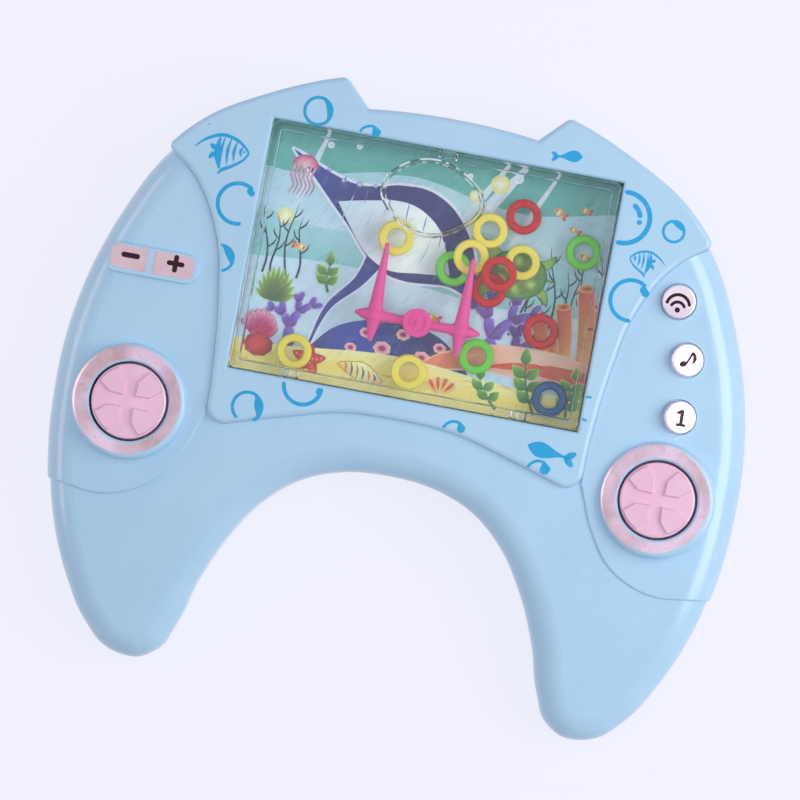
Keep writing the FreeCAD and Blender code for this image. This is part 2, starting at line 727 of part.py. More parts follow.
def filler_cut():
    """Room for the filler neck in the collar and for the plug in the wall."""
    radius = FILLER_NECK_RADIUS + PLUG_SLOT_CLEARANCE
    inner = SHELL_NOTCH_Y - SHELL_WALL
    neck = Part.makeBox(2 * radius, inner - TANK_HIGH_Y, FILLER_Z + radius, Vector(-radius, TANK_HIGH_Y, 0))
    hole = cylinder(FILLER_BORE_RADIUS, Vector(0, TANK_HIGH_Y, FILLER_Z), Vector(0, 1, 0), TANK_HIGH_Y)
    return neck.fuse(hole)


def back_shell():
    """Back half of the casing with its lip, screw towers and seats."""
    shell = halves(0).common(slab(-OVERRUN, PARTING_Z))
    shell = shell.cut(halves(-SHELL_WALL))
    reach = SHELL_WALL + LIP_CLEARANCE
    low = PARTING_Z - LIP_HEIGHT
    lip = prism(grown(body_face(), LIP_THICKNESS / 2 - SHELL_WALL), low, PARTING_Z)
    lip = lip.fuse(prism(grown(body_face(), -reach), low, PARTING_Z + LIP_HEIGHT))
    lip = lip.cut(notch_block(COVER_OVERHANG + reach))
    inner = prism(grown(body_face(), -reach - LIP_THICKNESS), 0, TANK_TOP_Z)
    inner = inner.cut(notch_block(COVER_OVERHANG + reach + LIP_THICKNESS))
    lip = lip.cut(inner)
    floor = SHELL_WALL / 2
    adds = [lip]
    for x, y in SCREW_PLACES:
        adds.append(cylinder(TOWER_RADIUS, Vector(x, y, floor), PATH_Z, PARTING_Z - floor))
    for side in (-1, 1):
        reach = TANK_LENGTH / 2 - SUPPORT_RIB_INSET_SHARE * TANK_LENGTH
        y = TANK_CENTRE_Y + side * reach - SUPPORT_RIB_THICKNESS / 2
        rib_length = SUPPORT_RIB_LENGTH_SHARE * TANK_WIDTH
        corner = Vector(-rib_length / 2, y, floor)
        adds.append(Part.makeBox(rib_length, SUPPORT_RIB_THICKNESS, PICTURE_Z - floor, corner))
        inner_radius = BULB_FLANGE_RADIUS + BULB_SEAT_CLEARANCE
        outer_radius = inner_radius + BULB_SEAT_WALL
        seat = tube(outer_radius, inner_radius, side * PUMP_X, PUMP_Y, floor, SHELL_WALL + BULB_SEAT_HEIGHT)
        half = HOSE_RADIUS + HOSE_SLOT_CLEARANCE
        start = PUMP_X - outer_radius - OVERRUN
        gate = Part.makeBox(outer_radius, 2 * half, PARTING_Z, Vector(start, PUMP_Y - half, SHELL_WALL))
        adds.append(seat.cut(gate if side > 0 else mirrored(gate)))
    shell = shell.fuse(adds)
    cuts = []
    for x, y in SCREW_PLACES:
        cuts.append(cylinder(HEAD_POCKET_RADIUS, Vector(x, y, -OVERRUN), PATH_Z, HEAD_SEAT_Z + OVERRUN))
        radius = SCREW_SHANK_RADIUS + SCREW_PASS_CLEARANCE
        cuts.append(cylinder(radius, Vector(x, y, 0), PATH_Z, PARTING_Z + OVERRUN))
    return shell.cut(cuts)


def front_cover():
    """Printed cover round the window, with the ears and a skirt."""
    plate = prism(grown(body_face(), COVER_OVERHANG), COVER_SKIRT_Z, TANK_TOP_Z + OVERRUN)
    plate = plate.cut(notch_block(0)).common(prism(cover_face(), COVER_SKIRT_Z, TANK_TOP_Z + OVERRUN))
    corner = at_shares(COVER_SIDE_SHARES[0])
    uprights = [(e, e.Vertexes[0].Point) for e in upright_edges(plate)]
    corners = [e for e, p in uprights if math.hypot(abs(p.x) - corner.x, p.y - corner.y) < TOUCH]
    plate = plate.makeFillet(COVER_CORNER_RADIUS, corners)
    uprights = [(e, e.Vertexes[0].Point) for e in upright_edges(plate)]
    tip_y = max(p.y for e, p in uprights)
    plate = plate.makeFillet(COVER_EAR_RADIUS, [e for e, p in uprights if p.y > tip_y - TOUCH])
    uprights = [(e, e.Vertexes[0].Point) for e in upright_edges(plate)]
    shoulder_x = max(p.x for e, p in uprights)
    shoulders = [e for e, p in uprights if abs(p.x) > shoulder_x - TOUCH]
    plate = plate.makeFillet(COVER_SHOULDER_RADIUS, shoulders)
    plate = plate.common(crown_sphere(COVER_RAISE))
    plate = plate.cut(square_body(COVER_SEAT_GAP))
    plate = plate.cut(tank_block(TANK_CLEARANCE, 0, TANK_TOP_Z + OVERRUN))
    near_window = tank_block(TANK_CORNER_RADIUS, 0, TANK_TOP_Z + OVERRUN)

    def round_top(solid, radius, wanted):
        tops = top_edges(solid, COVER_RAISE)
        chosen = [e for e in tops if near_window.isInside(e.CenterOfMass, TOUCH, True) == wanted]
        return solid.makeFillet(radius, chosen)

    plate = round_top(round_top(plate, COVER_WINDOW_RADIUS, True), COVER_RIM_RADIUS, False)
    pegs = []
    for x, y in PEG_PLACES:
        top = crown_z(x, y, COVER_RAISE / 2)
        start = Vector(x, y, top - COVER_PEG_LENGTH)
        pegs.append(cylinder(COVER_PEG_RADIUS, start, PATH_Z, COVER_PEG_LENGTH))
    plate = plate.fuse(pegs)
    slot = PLUG_HEAD_RADIUS + PLUG_SLOT_CLEARANCE
    start = Vector(0, SHELL_NOTCH_Y - OVERRUN, FILLER_Z)
    reach = COVER_OVERHANG + 2 * OVERRUN
    gate = cylinder(slot, start, Vector(0, 1, 0), reach)
    below = Part.makeBox(2 * slot, reach, FILLER_Z, Vector(-slot, start.y, 0))
    return plate.cut(gate.fuse(below))


def tank_body():
    """Clear tub of the tank: window, four walls and the filler neck."""
    tub = tank_block(0, TANK_FLOOR_Z, TANK_TOP_Z)
    tub = tub.makeFillet(TANK_CORNER_RADIUS, upright_edges(tub))
    tub = tub.makeFillet(TANK_EDGE_RADIUS, level_edges(tub, TANK_TOP_Z - TOUCH, TANK_TOP_Z + TOUCH))
    roof = TANK_TOP_Z - TANK_WINDOW
    room = tank_block(-TANK_WALL, TANK_FLOOR_Z - OVERRUN, roof)
    room = room.makeFillet(TANK_INNER_CORNER_RADIUS, upright_edges(room))
    room = room.makeFillet(TANK_EDGE_RADIUS, level_edges(room, roof - TOUCH, roof + TOUCH))
    neck_end = SHELL_NOTCH_Y - SHELL_WALL - FILLER_NECK_END_GAP
    start = Vector(0, TANK_HIGH_Y - TANK_WALL / 2, FILLER_Z)
    tub = tub.fuse(cylinder(FILLER_NECK_RADIUS, start, Vector(0, 1, 0), neck_end - start.y))
    cuts = [room, cylinder(FILLER_BORE_RADIUS, start - Vector(0, OVERRUN, 0), Vector(0, 1, 0), TANK_LENGTH)]
    for side in (-1, 1):
        start = Vector(side * JET_X, TANK_LOW_Y - OVERRUN, JET_Z)
        radius = JET_RADIUS + JET_HOLE_CLEARANCE
        cuts.append(cylinder(radius, start, Vector(0, 1, 0), 2 * OVERRUN))
    return tub.cut(cuts)


def tank_back_plate():
    """Clear plate that closes the tank, with the stud for the peg rack."""
    plate = tank_block(BACK_PLATE_FLANGE, PLATE_Z, TANK_FLOOR_Z)
    plate = plate.makeFillet(TANK_CORNER_RADIUS + BACK_PLATE_FLANGE, upright_edges(plate))
    seat = RACK_Z - RACK_BOSS_HEIGHT / 2
    middle = Vector(0, RACK_CENTRE_Y, PLATE_Z)
    shoulder = cylinder(STUD_SHOULDER_RADIUS, middle, PATH_Z, seat - PLATE_Z)
    pin = cylinder(STUD_RADIUS, middle, PATH_Z, seat + STUD_HOLE_DEPTH - STUD_CLEARANCE - PLATE_Z)
    return plate.fuse([shoulder, pin])


def picture_card():
    """Printed card behind the tank."""
    return tank_block(0, PICTURE_Z, PLATE_Z)


def spindle(start, along, length, base, tip):
    """Tapered arm of the peg rack, flared at its root and round at its tip."""
    neck = length - tip
    round_off = tip * math.sqrt(0.5)
    edges = lines([
        Vector(0, 0, length),
        Vector(0, 0, 0),
        Vector(FLARE_RADIUS, 0, 0),
        Vector(base, 0, FLARE_LENGTH),
        Vector(tip, 0, neck),
    ])
    middle = Vector(round_off, 0, neck + round_off)
    edges.append(Part.Arc(Vector(tip, 0, neck), middle, Vector(0, 0, length)).toShape())
    arm = face_of(edges).revolve(Vector(0, 0, 0), PATH_Z, 360)
    arm.Placement = Placement(start, Rotation(PATH_Z, along))
    return arm


def peg_rack():
    """Two long spikes on a crossbar with a round middle boss."""
    half = SPIKE_SPACING / 2
    pieces = []
    for side in (-1, 1):
        root = Vector(side * half, RACK_CENTRE_Y, RACK_Z)
        up = Vector(0, 1, 0)
        out = Vector(side, 0, 0)
        pieces.append(Part.makeSphere(RACK_JOINT_RADIUS, root))
        pieces.append(spindle(root, up, SPIKE_TOP_Y - RACK_CENTRE_Y, SPIKE_RADIUS, SPIKE_TIP_RADIUS))
        pieces.append(spindle(root, -up, RACK_CENTRE_Y - SPIKE_BOTTOM_Y, FOOT_RADIUS, FOOT_TIP_RADIUS))
        pieces.append(spindle(root, out, BAR_TIP_X - half, ARM_RADIUS, ARM_TIP_RADIUS))
        pieces.append(spindle(root, -out, half, BAR_RADIUS, BAR_RADIUS * BAR_END_SHARE))
    seat = RACK_Z - RACK_BOSS_HEIGHT / 2
    top = RACK_Z + RACK_BOSS_HEIGHT / 2
    boss = cylinder(RACK_BOSS_RADIUS, Vector(0, RACK_CENTRE_Y, seat), PATH_Z, RACK_BOSS_HEIGHT)
    boss = boss.makeFillet(RACK_RING_DEPTH, level_edges(boss, top - TOUCH, top + TOUCH))
    rack = boss.fuse(pieces)
    groove = tube(RACK_RING_RADIUS, RACK_RING_RADIUS - RACK_RING_WIDTH, 0, RACK_CENTRE_Y, top - RACK_RING_DEPTH, top)
    hole = cylinder(STUD_RADIUS + STUD_CLEARANCE, Vector(0, RACK_CENTRE_Y, 0), PATH_Z, seat + STUD_HOLE_DEPTH)
    nub = Part.makeSphere(RACK_NUB_RADIUS, Vector(0, RACK_CENTRE_Y, top))
    return rack.cut([groove, hole]).fuse(nub).removeSplitter()


def ring(across, along, under):
    """One loose ring lying flat, on the floor or on other rings."""
    x = across * (ROOM_HALF_WIDTH - RING_OUTER_RADIUS)
    y = TANK_CENTRE_Y + along * (ROOM_HALF_LENGTH - RING_OUTER_RADIUS)
    low = TANK_FLOOR_Z + RING_REST_GAP + under * (RING_THICKNESS + RING_REST_GAP)
    hoop = tube(RING_OUTER_RADIUS, RING_HOLE_RADIUS, x, y, low, low + RING_THICKNESS)
    return hoop.makeFillet(RING_EDGE_RADIUS, [e for e in hoop.Edges if len(e.Vertexes) == 1])


def petals(top):
    """Four raised quarters of the pump cap with sloped sides."""
    low = top - PETAL_HEIGHT - CAP_RIM_BEVEL
    rim = PETAL_RIM_SHARE * CAP_RADIUS
    quarter = []
    for inset, height in ((0, low), (PETAL_BEVEL, top)):
        points = [Vector(x * CAP_RADIUS, y * CAP_RADIUS, 0) for x, y in PETAL_SHARES]
        face = Part.Face(Part.makePolygon(points + [points[0]]))
        face = face.common(Part.Face(Part.Wire(Part.makeCircle(rim))))
        wire = grown(face.Faces[0], -inset).Wires[0]
        quarter.append(wire.translated(Vector(0, 0, height)))
    petal = Part.makeLoft(quarter, True, True)
    return [petal.rotated(Vector(0, 0, 0), PATH_Z, turn) for turn in (0, 90, 180, 270)]


def pump_button():
    """Pump cap with a cross-shaped recess, guided skirt and plunger."""
    top = PUMP_RING_Z + CAP_PROUD
    deck = top - PETAL_HEIGHT
    flange_top = PUMP_GUIDE_Z - CAP_FLANGE_GAP
    foot = flange_top - CAP_FLANGE_THICKNESS
    shoulder = PUMP_RING_Z - CAP_SHOULDER_DEPTH
    profile = (
        (0, foot),
        (CAP_POST_RADIUS, foot),
        (CAP_POST_RADIUS, deck - CAP_WALL),
        (CAP_SKIRT_RADIUS - CAP_WALL, deck - CAP_WALL),
        (CAP_SKIRT_RADIUS - CAP_WALL, foot),
        (CAP_FLANGE_RADIUS, foot),
        (CAP_FLANGE_RADIUS, flange_top),
        (CAP_SKIRT_RADIUS, flange_top),
        (CAP_SKIRT_RADIUS, shoulder),
        (CAP_RADIUS, shoulder + CAP_SKIRT_RADIUS - CAP_RADIUS),
        (CAP_RADIUS, deck - CAP_RIM_BEVEL / 2),
        (CAP_RADIUS - CAP_RIM_BEVEL, deck),
        (0, deck),
    )
    cap = revolved(profile, 0, 0).fuse(petals(top))
    cap = cap.removeSplitter()
    cap.translate(Vector(PUMP_X, PUMP_Y, 0))
    return cap


def pump_bulb():
    """Hollow rubber bulb under a pump cap, with its outlet stub."""
    low = SHELL_WALL
    top = PUMP_GUIDE_Z - CAP_FLANGE_GAP - CAP_FLANGE_THICKNESS - BULB_TOP_GAP
    shoulder = low + BULB_SHOULDER_HEIGHT

    def dome(radius, crown, foot, bend, head):
        middle = Vector((radius + crown) / 2, 0, (bend + head) / 2)
        bulge = Vector(head - bend, 0, radius - crown)
        middle = middle + bulge * ((math.sqrt(2) - 1) / 2)
        edges = lines([Vector(0, 0, foot), Vector(radius, 0, foot), Vector(radius, 0, bend)])
        edges.append(Part.Arc(Vector(radius, 0, bend), middle, Vector(crown, 0, head)).toShape())
        edges += lines([Vector(crown, 0, head), Vector(0, 0, head), Vector(0, 0, foot)])
        return Part.Face(Part.Wire(edges)).revolve(Vector(0, 0, 0), PATH_Z, 360)

    bulb = dome(BULB_RADIUS, BULB_CROWN_RADIUS, low, shoulder, top)
    bulb = bulb.fuse(cylinder(BULB_FLANGE_RADIUS, Vector(0, 0, low), PATH_Z, BULB_FLANGE_THICKNESS))
    stub = Vector(0, 0, BULB_STUB_Z)
    stub_length = BULB_RADIUS + HOSE_END_GAP + HOSE_GRIP
    bulb = bulb.fuse(cylinder(STUB_RADIUS, stub, Vector(-1, 0, 0), stub_length))
    air = dome(BULB_RADIUS - BULB_WALL, BULB_CROWN_RADIUS, low + BULB_WALL, shoulder, top - BULB_WALL)
    bore = cylinder(STUB_BORE_RADIUS, stub, Vector(-1, 0, 0), stub_length + OVERRUN)
    bulb = bulb.cut(air.fuse(bore))
    bulb.translate(Vector(PUMP_X, PUMP_Y, 0))
    return bulb


def hose_route():
    """Points of the hose from the bulb stub to the nozzle barb."""
    start = Vector(PUMP_X - BULB_RADIUS - HOSE_END_GAP, PUMP_Y, BULB_STUB_Z)
    end = Vector(JET_X + JET_HOSE_START, JET_ELBOW_Y, JET_Z)
    run = Vector(HOSE_END_RUN, 0, 0)
    return [start, start - run, end + run, end]


def hose():
    """Bent hose from the bulb to the nozzle, open all through."""
    points = hose_route()
    edges = []
    last = points[0]
    for before, corner, after in zip(points, points[1:], points[2:]):
        back = before - corner
        ahead = after - corner
        turn = math.pi - back.getAngle(ahead)
        reach = HOSE_BEND_SHARE * min(back.Length, ahead.Length)
        back.normalize()
        ahead.normalize()
        enter = corner + back * reach
        leave = corner + ahead * reach
        radius = reach / math.tan(turn / 2)
        inward = back + ahead
        inward.normalize()
        middle = corner + inward * (radius / math.cos(turn / 2) - radius)
        edges.append(Part.LineSegment(last, enter).toShape())
        edges.append(Part.Arc(enter, middle, leave).toShape())
        last = leave
    edges.append(Part.LineSegment(last, points[-1]).toShape())
    path = Part.Wire(edges)
    along = points[1] - points[0]
    pipes = []
    hose_bore = STUB_RADIUS + HOSE_FIT_CLEARANCE
    for radius in (HOSE_RADIUS, hose_bore):
        ring_wire = Part.Wire(Part.makeCircle(radius, points[0], along))
        pipes.append(path.makePipeShell([ring_wire], True, True))
    shape = pipes[0].cut(pipes[1])
    area = math.pi * (HOSE_RADIUS**2 - hose_bore**2)
    print("hose volume over section times length", round(shape.Volume / (area * path.Length), 4))
    return shape


def jet_nozzle():
    """Elbow that takes the hose through the lower wall of the tank."""
    tip = TANK_LOW_Y + TANK_WALL
    elbow = Vector(JET_X, JET_ELBOW_Y, JET_Z)
    body = cylinder(JET_RADIUS, elbow, Vector(0, 1, 0), tip - JET_ELBOW_Y)
    barb_length = JET_HOSE_START + HOSE_GRIP
    barb = cylinder(STUB_RADIUS, elbow, Vector(1, 0, 0), barb_length)
    knuckle = cylinder(JET_ELBOW_RADIUS, elbow - PATH_Z * (JET_ELBOW_HEIGHT / 2), PATH_Z, JET_ELBOW_HEIGHT)
    bore = cylinder(STUB_BORE_RADIUS, elbow, Vector(0, 1, 0), tip - JET_ELBOW_Y + OVERRUN)
    side_bore = cylinder(STUB_BORE_RADIUS, elbow, Vector(1, 0, 0), barb_length + OVERRUN)
    return knuckle.fuse([body, barb]).cut(bore).cut(side_bore)


def fill_plug():
    """Rubber plug in the filler neck, with a fingernail groove."""
    reach = SHELL_NOTCH_Y + PLUG_HEAD_GAP
    inner = TANK_HIGH_Y - TANK_WALL / 2
    stem = cylinder(FILLER_BORE_RADIUS - PLUG_CLEARANCE, Vector(0, inner, FILLER_Z), Vector(0, 1, 0), reach - inner)
    head = cylinder(PLUG_HEAD_RADIUS, Vector(0, reach, FILLER_Z), Vector(0, 1, 0), COVER_OVERHANG - PLUG_HEAD_GAP)
    depth = reach + COVER_OVERHANG - PLUG_HEAD_GAP - PLUG_GROOVE_DEPTH
    corner = Vector(-PLUG_HEAD_RADIUS, depth, FILLER_Z - PLUG_GROOVE_WIDTH / 2)
    groove = Part.makeBox(2 * PLUG_HEAD_RADIUS, OVERRUN, PLUG_GROOVE_WIDTH, corner)
    return stem.fuse(head).cut(groove)


def screw(x, y):
    """Cross-head screw from the back shell up into a post."""
    base = Vector(x, y, HEAD_SEAT_Z - SCREW_HEAD_HEIGHT)
    head = cylinder(SCREW_HEAD_RADIUS, base, PATH_Z, SCREW_HEAD_HEIGHT)
    shank = cylinder(SCREW_SHANK_RADIUS, base, PATH_Z, SCREW_HEAD_HEIGHT + SCREW_LENGTH - SCREW_TIP_LENGTH)
    tip_start = Vector(x, y, HEAD_SEAT_Z + SCREW_LENGTH - SCREW_TIP_LENGTH)
    tip = Part.makeCone(SCREW_SHANK_RADIUS, SCREW_TIP_RADIUS, SCREW_TIP_LENGTH, tip_start, PATH_Z)
    body = head.fuse([shank, tip])
    slots = []
    for a, b in ((SCREW_SLOT_LENGTH, SCREW_SLOT_WIDTH), (SCREW_SLOT_WIDTH, SCREW_SLOT_LENGTH)):
        corner = Vector(x - a / 2, y - b / 2, base.z - OVERRUN)
        slots.append(Part.makeBox(a, b, OVERRUN + SCREW_SLOT_DEPTH, corner))
    return body.cut(slots)


def write(name, shape):
    """Write one node and print what it holds."""
    shape.exportStep("parts/%s.step" % name)
    print(name, "solids", len(shape.Solids), "volume", round(shape.Volume, 1), "valid", shape.isValid())


def main():
    os.makedirs("parts", exist_ok=True)
    write("front_shell", front_shell())
    write("back_shell", back_shell())
    write("front_cover", front_cover())
    write("tank_body", tank_body())
    write("tank_back_plate", tank_back_plate())
    write("picture_card", picture_card())
    write("peg_rack", peg_rack())
    for name, across, along, under in RING_SHARES:
        write(name, ring(across, along, under))
    pairs = (
        ("pump_button", pump_button()),
        ("pump_bulb", pump_bulb()),
        ("pump_hose", hose()),
        ("jet_nozzle", jet_nozzle()),
    )
    for name, shape in pairs:
        write(name + "_right", shape)
        write(name + "_left", mirrored(shape))
    write("pump_foil_right", pump_foil(1))
    write("pump_foil_left", mirrored(pump_foil(-1)))
    write("fill_plug", fill_plug())
    write("volume_minus_foil", pill_foil(-1))
    write("volume_plus_foil", pill_foil(1))
    for name, *place in SMALL_CAPS:
        write(name, small_cap(*place))
    write("back_screws", Part.makeCompound([screw(x, y) for x, y in SCREW_PLACES]))


main()
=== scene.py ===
"""Looks of a hand-held water ring toss game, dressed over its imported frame.

Tables are in millimetres, X across the handles and Y towards the ears; meshes are written in metres.
"""

import math

import bpy
import numpy as np
from mathutils import Matrix


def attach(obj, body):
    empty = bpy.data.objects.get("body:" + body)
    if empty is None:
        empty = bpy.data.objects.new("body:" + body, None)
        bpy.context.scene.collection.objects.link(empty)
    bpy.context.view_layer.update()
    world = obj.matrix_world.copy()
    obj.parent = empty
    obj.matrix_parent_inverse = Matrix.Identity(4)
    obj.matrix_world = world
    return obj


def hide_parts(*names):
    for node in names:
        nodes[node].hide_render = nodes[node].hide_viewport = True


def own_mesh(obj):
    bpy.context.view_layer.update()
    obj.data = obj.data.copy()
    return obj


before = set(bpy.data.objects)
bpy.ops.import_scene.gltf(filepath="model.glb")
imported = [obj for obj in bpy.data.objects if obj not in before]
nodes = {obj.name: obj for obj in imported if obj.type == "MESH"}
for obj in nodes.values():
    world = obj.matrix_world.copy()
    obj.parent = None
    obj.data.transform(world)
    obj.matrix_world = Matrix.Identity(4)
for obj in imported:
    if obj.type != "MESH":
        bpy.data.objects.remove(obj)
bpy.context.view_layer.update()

MM = 0.001
CROWN_RADIUS = 480.0
CROWN_TOP = 17.2
CROWN_CENTRE = np.array([0.0, 20.0, CROWN_TOP - CROWN_RADIUS])
COVER_RAISE = 1.45
WING_RAISE = 0.45
TANK_X = 30.5
TANK_LOW_Y = -0.1
TANK_HIGH_Y = 43.2
CARD_Z = (7.5, 7.56)
PLATE_TOP = 9.0
PLATE_DROP = 0.04
# Print: how far it stands off its face, and how far each layer of ink and each hair of a layer rises
PRINT_GAP = 0.02
PRINT_STEP = 0.006
INK_STEP = 0.018
HAIR_SHARE = 0.02
HAIR_COUNT = 40


# ---------------------------------------------------------------- camera

TILT = math.radians(10.6)
PIXELS_PER_MM = 5.787
PICTURE_PIXELS = 800.0
SENSOR_WIDTH = 36.0
AIM = (-0.618, -0.399, 10.0)
CAMERA_DISTANCE = 1500.0
CAMERA_LEAN = math.radians(2.2)

camera_data = bpy.data.cameras.new("camera")
camera_data.sensor_width = SENSOR_WIDTH
camera_data.lens = SENSOR_WIDTH * CAMERA_DISTANCE * PIXELS_PER_MM / PICTURE_PIXELS
camera_data.clip_start = 0.01
camera = bpy.data.objects.new("camera", camera_data)
reach = (CAMERA_DISTANCE * math.sin(CAMERA_LEAN), 0.0, CAMERA_DISTANCE * math.cos(CAMERA_LEAN))
camera.location = tuple((a + r) * MM for a, r in zip(AIM, reach))
camera.rotation_euler = (Matrix.Rotation(CAMERA_LEAN, 3, "Y") @ Matrix.Rotation(TILT, 3, "Z")).to_euler()
bpy.context.scene.collection.objects.link(camera)
bpy.context.scene.camera = camera


# ---------------------------------------------------------------- colours and shader maths


def paint(red, green, blue):
    """Linear colour from screen values of 0 to 255: ((c + 0.055) / 1.055) ^ 2.4, or c / 12.92 when dark."""
    out = []
    for value in (red, green, blue):
        c = value / 255.0
        out.append(c / 12.92 if c <= 0.04045 else ((c + 0.055) / 1.055) ** 2.4)
    return tuple(out) + (1.0,)


class Val:
    """Number socket of a shader; an expression on it adds the Math nodes it needs."""

    def __init__(self, tree, socket):
        self.tree = tree
        self.socket = socket

    def math(self, operation, *others):
        node = self.tree.nodes.new("ShaderNodeMath")
        node.operation = operation
        for slot, value in zip(node.inputs, (self,) + others):
            feed(self.tree, slot, value)
        return Val(self.tree, node.outputs[0])

    def __add__(self, other):
        return self.math("ADD", other)

    def __sub__(self, other):
        return self.math("SUBTRACT", other)

    def __rsub__(self, other):
        return (self * -1.0) + other

    def __mul__(self, other):
        return self.math("MULTIPLY", other)

    __radd__ = __add__

    def clamped(self):
        return self.math("MINIMUM", 1.0).math("MAXIMUM", 0.0)

    def ramp(self, low, high):
        """0 at low, 1 at high and straight between them."""
        return ((self - low) * (1.0 / (high - low))).clamped()


def feed(tree, slot, value):
    """Link a socket, or set a constant, on one input."""
    if isinstance(value, Val):
        tree.links.new(value.socket, slot)
    else:
        slot.default_value = value


def rays(tree, **shares):
    """Sum of shares of the kinds of ray that arrive, held to 1; Camera=1.0 counts what the camera sees."""
    path = tree.nodes.new("ShaderNodeLightPath")
    total = 0.0
    for kind, share in shares.items():
        total = Val(tree, path.outputs["Is %s Ray" % kind]) * share + total
    return total.clamped()


class Finish:
    """Node material around one Principled surface."""

    def __init__(self, name, colour, **sockets):
        self.material = bpy.data.materials.new(name)
        self.material.use_nodes = True
        self.tree = self.material.node_tree
        self.surface = self.tree.nodes["Principled BSDF"]
        self.output = self.tree.nodes["Material Output"]
        self.set(Base_Color=colour, **sockets)

    def set(self, **sockets):
        """Feed Principled inputs; an underscore in a name stands for a space."""
        for name, value in sockets.items():
            feed(self.tree, self.surface.inputs[name.replace("_", " ")], value)

    def node(self, kind, settings=None, out=0, **inputs):
        """Any node: its settings first, then values or links of its inputs by name or i0, i1."""
        node = self.tree.nodes.new(kind)
        for name, value in (settings or {}).items():
            setattr(node, name, value)
        for name, value in inputs.items():
            key = int(name[1:]) if name[0] == "i" and name[1:].isdigit() else name.replace("_", " ")
            feed(self.tree, node.inputs[key], value)
        return Val(self.tree, node.outputs[out])

    def place(self, stretch=(1.0, 1.0, 1.0), turn=0.0):
        """Object coordinates in millimetres, turned about Z, then stretched."""
        spot = self.node("ShaderNodeTexCoord", out=3)
        if turn:
            spot = self.node("ShaderNodeMapping", Vector=spot, Rotation=(0.0, 0.0, turn))
        return self.node("ShaderNodeMapping", Vector=spot, Scale=tuple(s / MM for s in stretch))

    def noise(self, size, detail=2.0, rough=0.5, stretch=(1.0, 1.0, 1.0), turn=0.0):
        """Cloudy value from 0 to 1 whose patches are about size millimetres."""
        return self.node(
            "ShaderNodeTexNoise", Vector=self.place(stretch, turn), Scale=1.0 / size, Detail=detail, Roughness=rough
        )

    def hairs(self, size, detail, rough, thin, turn, width):
        """Fine lines where a drawn-out noise crosses its middle: 1 on a line and 0 at its width."""
        return (self.noise(size, detail, rough, (1.0, thin, 1.0), turn) - 0.5).math("ABSOLUTE").ramp(width, 0.0)

    def blend(self, low, high, factor, mode="MIX"):
        """Colour from low to high by a factor."""
        return self.node(
            "ShaderNodeMix", {"data_type": "RGBA", "blend_type": mode}, out=2, i0=factor, i6=low, i7=high
        )

    def bump(self, height, depth, strength=1.0):
        """Normal from a height value that spans depth millimetres."""
        return self.node("ShaderNodeBump", Height=height, Distance=depth * MM, Strength=strength)

    def shaders(self, low, high, factor):
        """Mix two shaders by a factor and send them to the output."""
        mixed = self.node("ShaderNodeMixShader", i0=factor, i1=low, i2=high)
        self.tree.links.new(mixed.socket, self.output.inputs["Surface"])


def tinted(colour, scale):
    """The same colour made lighter or darker."""
    return tuple(min(1.0, c * scale) for c in colour[:3]) + (1.0,)


def moulded(name, colour, pale, rough=0.34, coat=0.25, grain=0.010, scuffs=0.5, gloss=0.5):
    """Moulded plastic: cloudy colour, fine grain, faint flow streaks and hair scratches; gloss is low under water."""
    f = Finish(name, colour, IOR=1.49, Specular_IOR_Level=gloss, Coat_Weight=coat, Coat_Roughness=0.12)
    clouds = f.noise(16.0, 3.0)
    streaks = f.noise(3.2, 3.0, 0.6, (1.0, 0.16, 1.0), TILT)
    fine = f.noise(0.45, 2.0, 0.6)
    f.set(Base_Color=f.blend(colour, pale, (clouds * 0.7 + streaks * 0.3).ramp(0.38, 0.66)))
    worn = f.noise(9.0, 2.0).ramp(0.52, 0.68)
    marks = f.hairs(0.5, 1.0, 0.4, 0.05, 0.9, 0.012) * worn * scuffs
    f.set(Roughness=rough + (clouds - 0.5) * 0.12 + marks * 0.16)
    f.set(Normal=f.bump(fine + streaks * 0.5 - marks * 0.6, grain))
    return f


def assign(material, *names):
    """Put one material on CAD nodes, in place of what the frame gave them."""
    for name in names:
        mesh = nodes[name].data
        mesh.materials.clear()
        mesh.materials.append(material)


# ---------------------------------------------------------------- shapes


def smooth_line(points, count):
    """Curve through points: each span is the cubic whose end slopes are half the chord of the neighbours."""
    p = np.array(points, float)
    if p.ndim == 1:
        p = p[:, None]
    pad = np.vstack([2 * p[0] - p[1], p, 2 * p[-1] - p[-2]])
    t = np.linspace(0, len(p) - 1, count)
    k = np.minimum(t.astype(int), len(p) - 2)
    f = (t - k)[:, None]
    a, b, c, d = pad[k], pad[k + 1], pad[k + 2], pad[k + 3]
    return 0.5 * (2 * b + (c - a) * f + (2 * a - 5 * b + 4 * c - d) * f**2 + (3 * b - a - 3 * c + d) * f**3)


def arc(x, y, radius, start, end, count=28):
    """Points (x + r cos a, y + r sin a) for a from start to end degrees."""
    a = np.radians(np.linspace(start, end, count))
    return np.stack([x + radius * np.cos(a), y + radius * np.sin(a)], 1)


def blended(tones, count):
    """Colours at even steps along a row of tones, straight between neighbours."""
    tone = np.array(tones, float)[:, :3]
    steps = np.linspace(0, len(tone) - 1, count)
    return np.stack([np.interp(steps, np.arange(len(tone)), part) for part in tone.T], 1)


def crown_height(x, y, raised):
    """Height of the crowned front: centre + sqrt((R + raised)^2 - x^2 - (y - yc)^2)."""
    return CROWN_CENTRE[2] + np.sqrt((CROWN_RADIUS + raised) ** 2 - x**2 - (y - CROWN_CENTRE[1]) ** 2)


def square_to_crown(x, y, raised):
    """Map from a flat drawing to the plane that touches the crowned front at one place."""
    spot = np.array([x, y, crown_height(x, y, raised)])
    normal = spot - CROWN_CENTRE
    normal /= np.linalg.norm(normal)
    across = np.array([1.0, 0.0, 0.0]) - normal[0] * normal
    across /= np.linalg.norm(across)
    return spot, np.stack([across, np.cross(normal, across), normal])


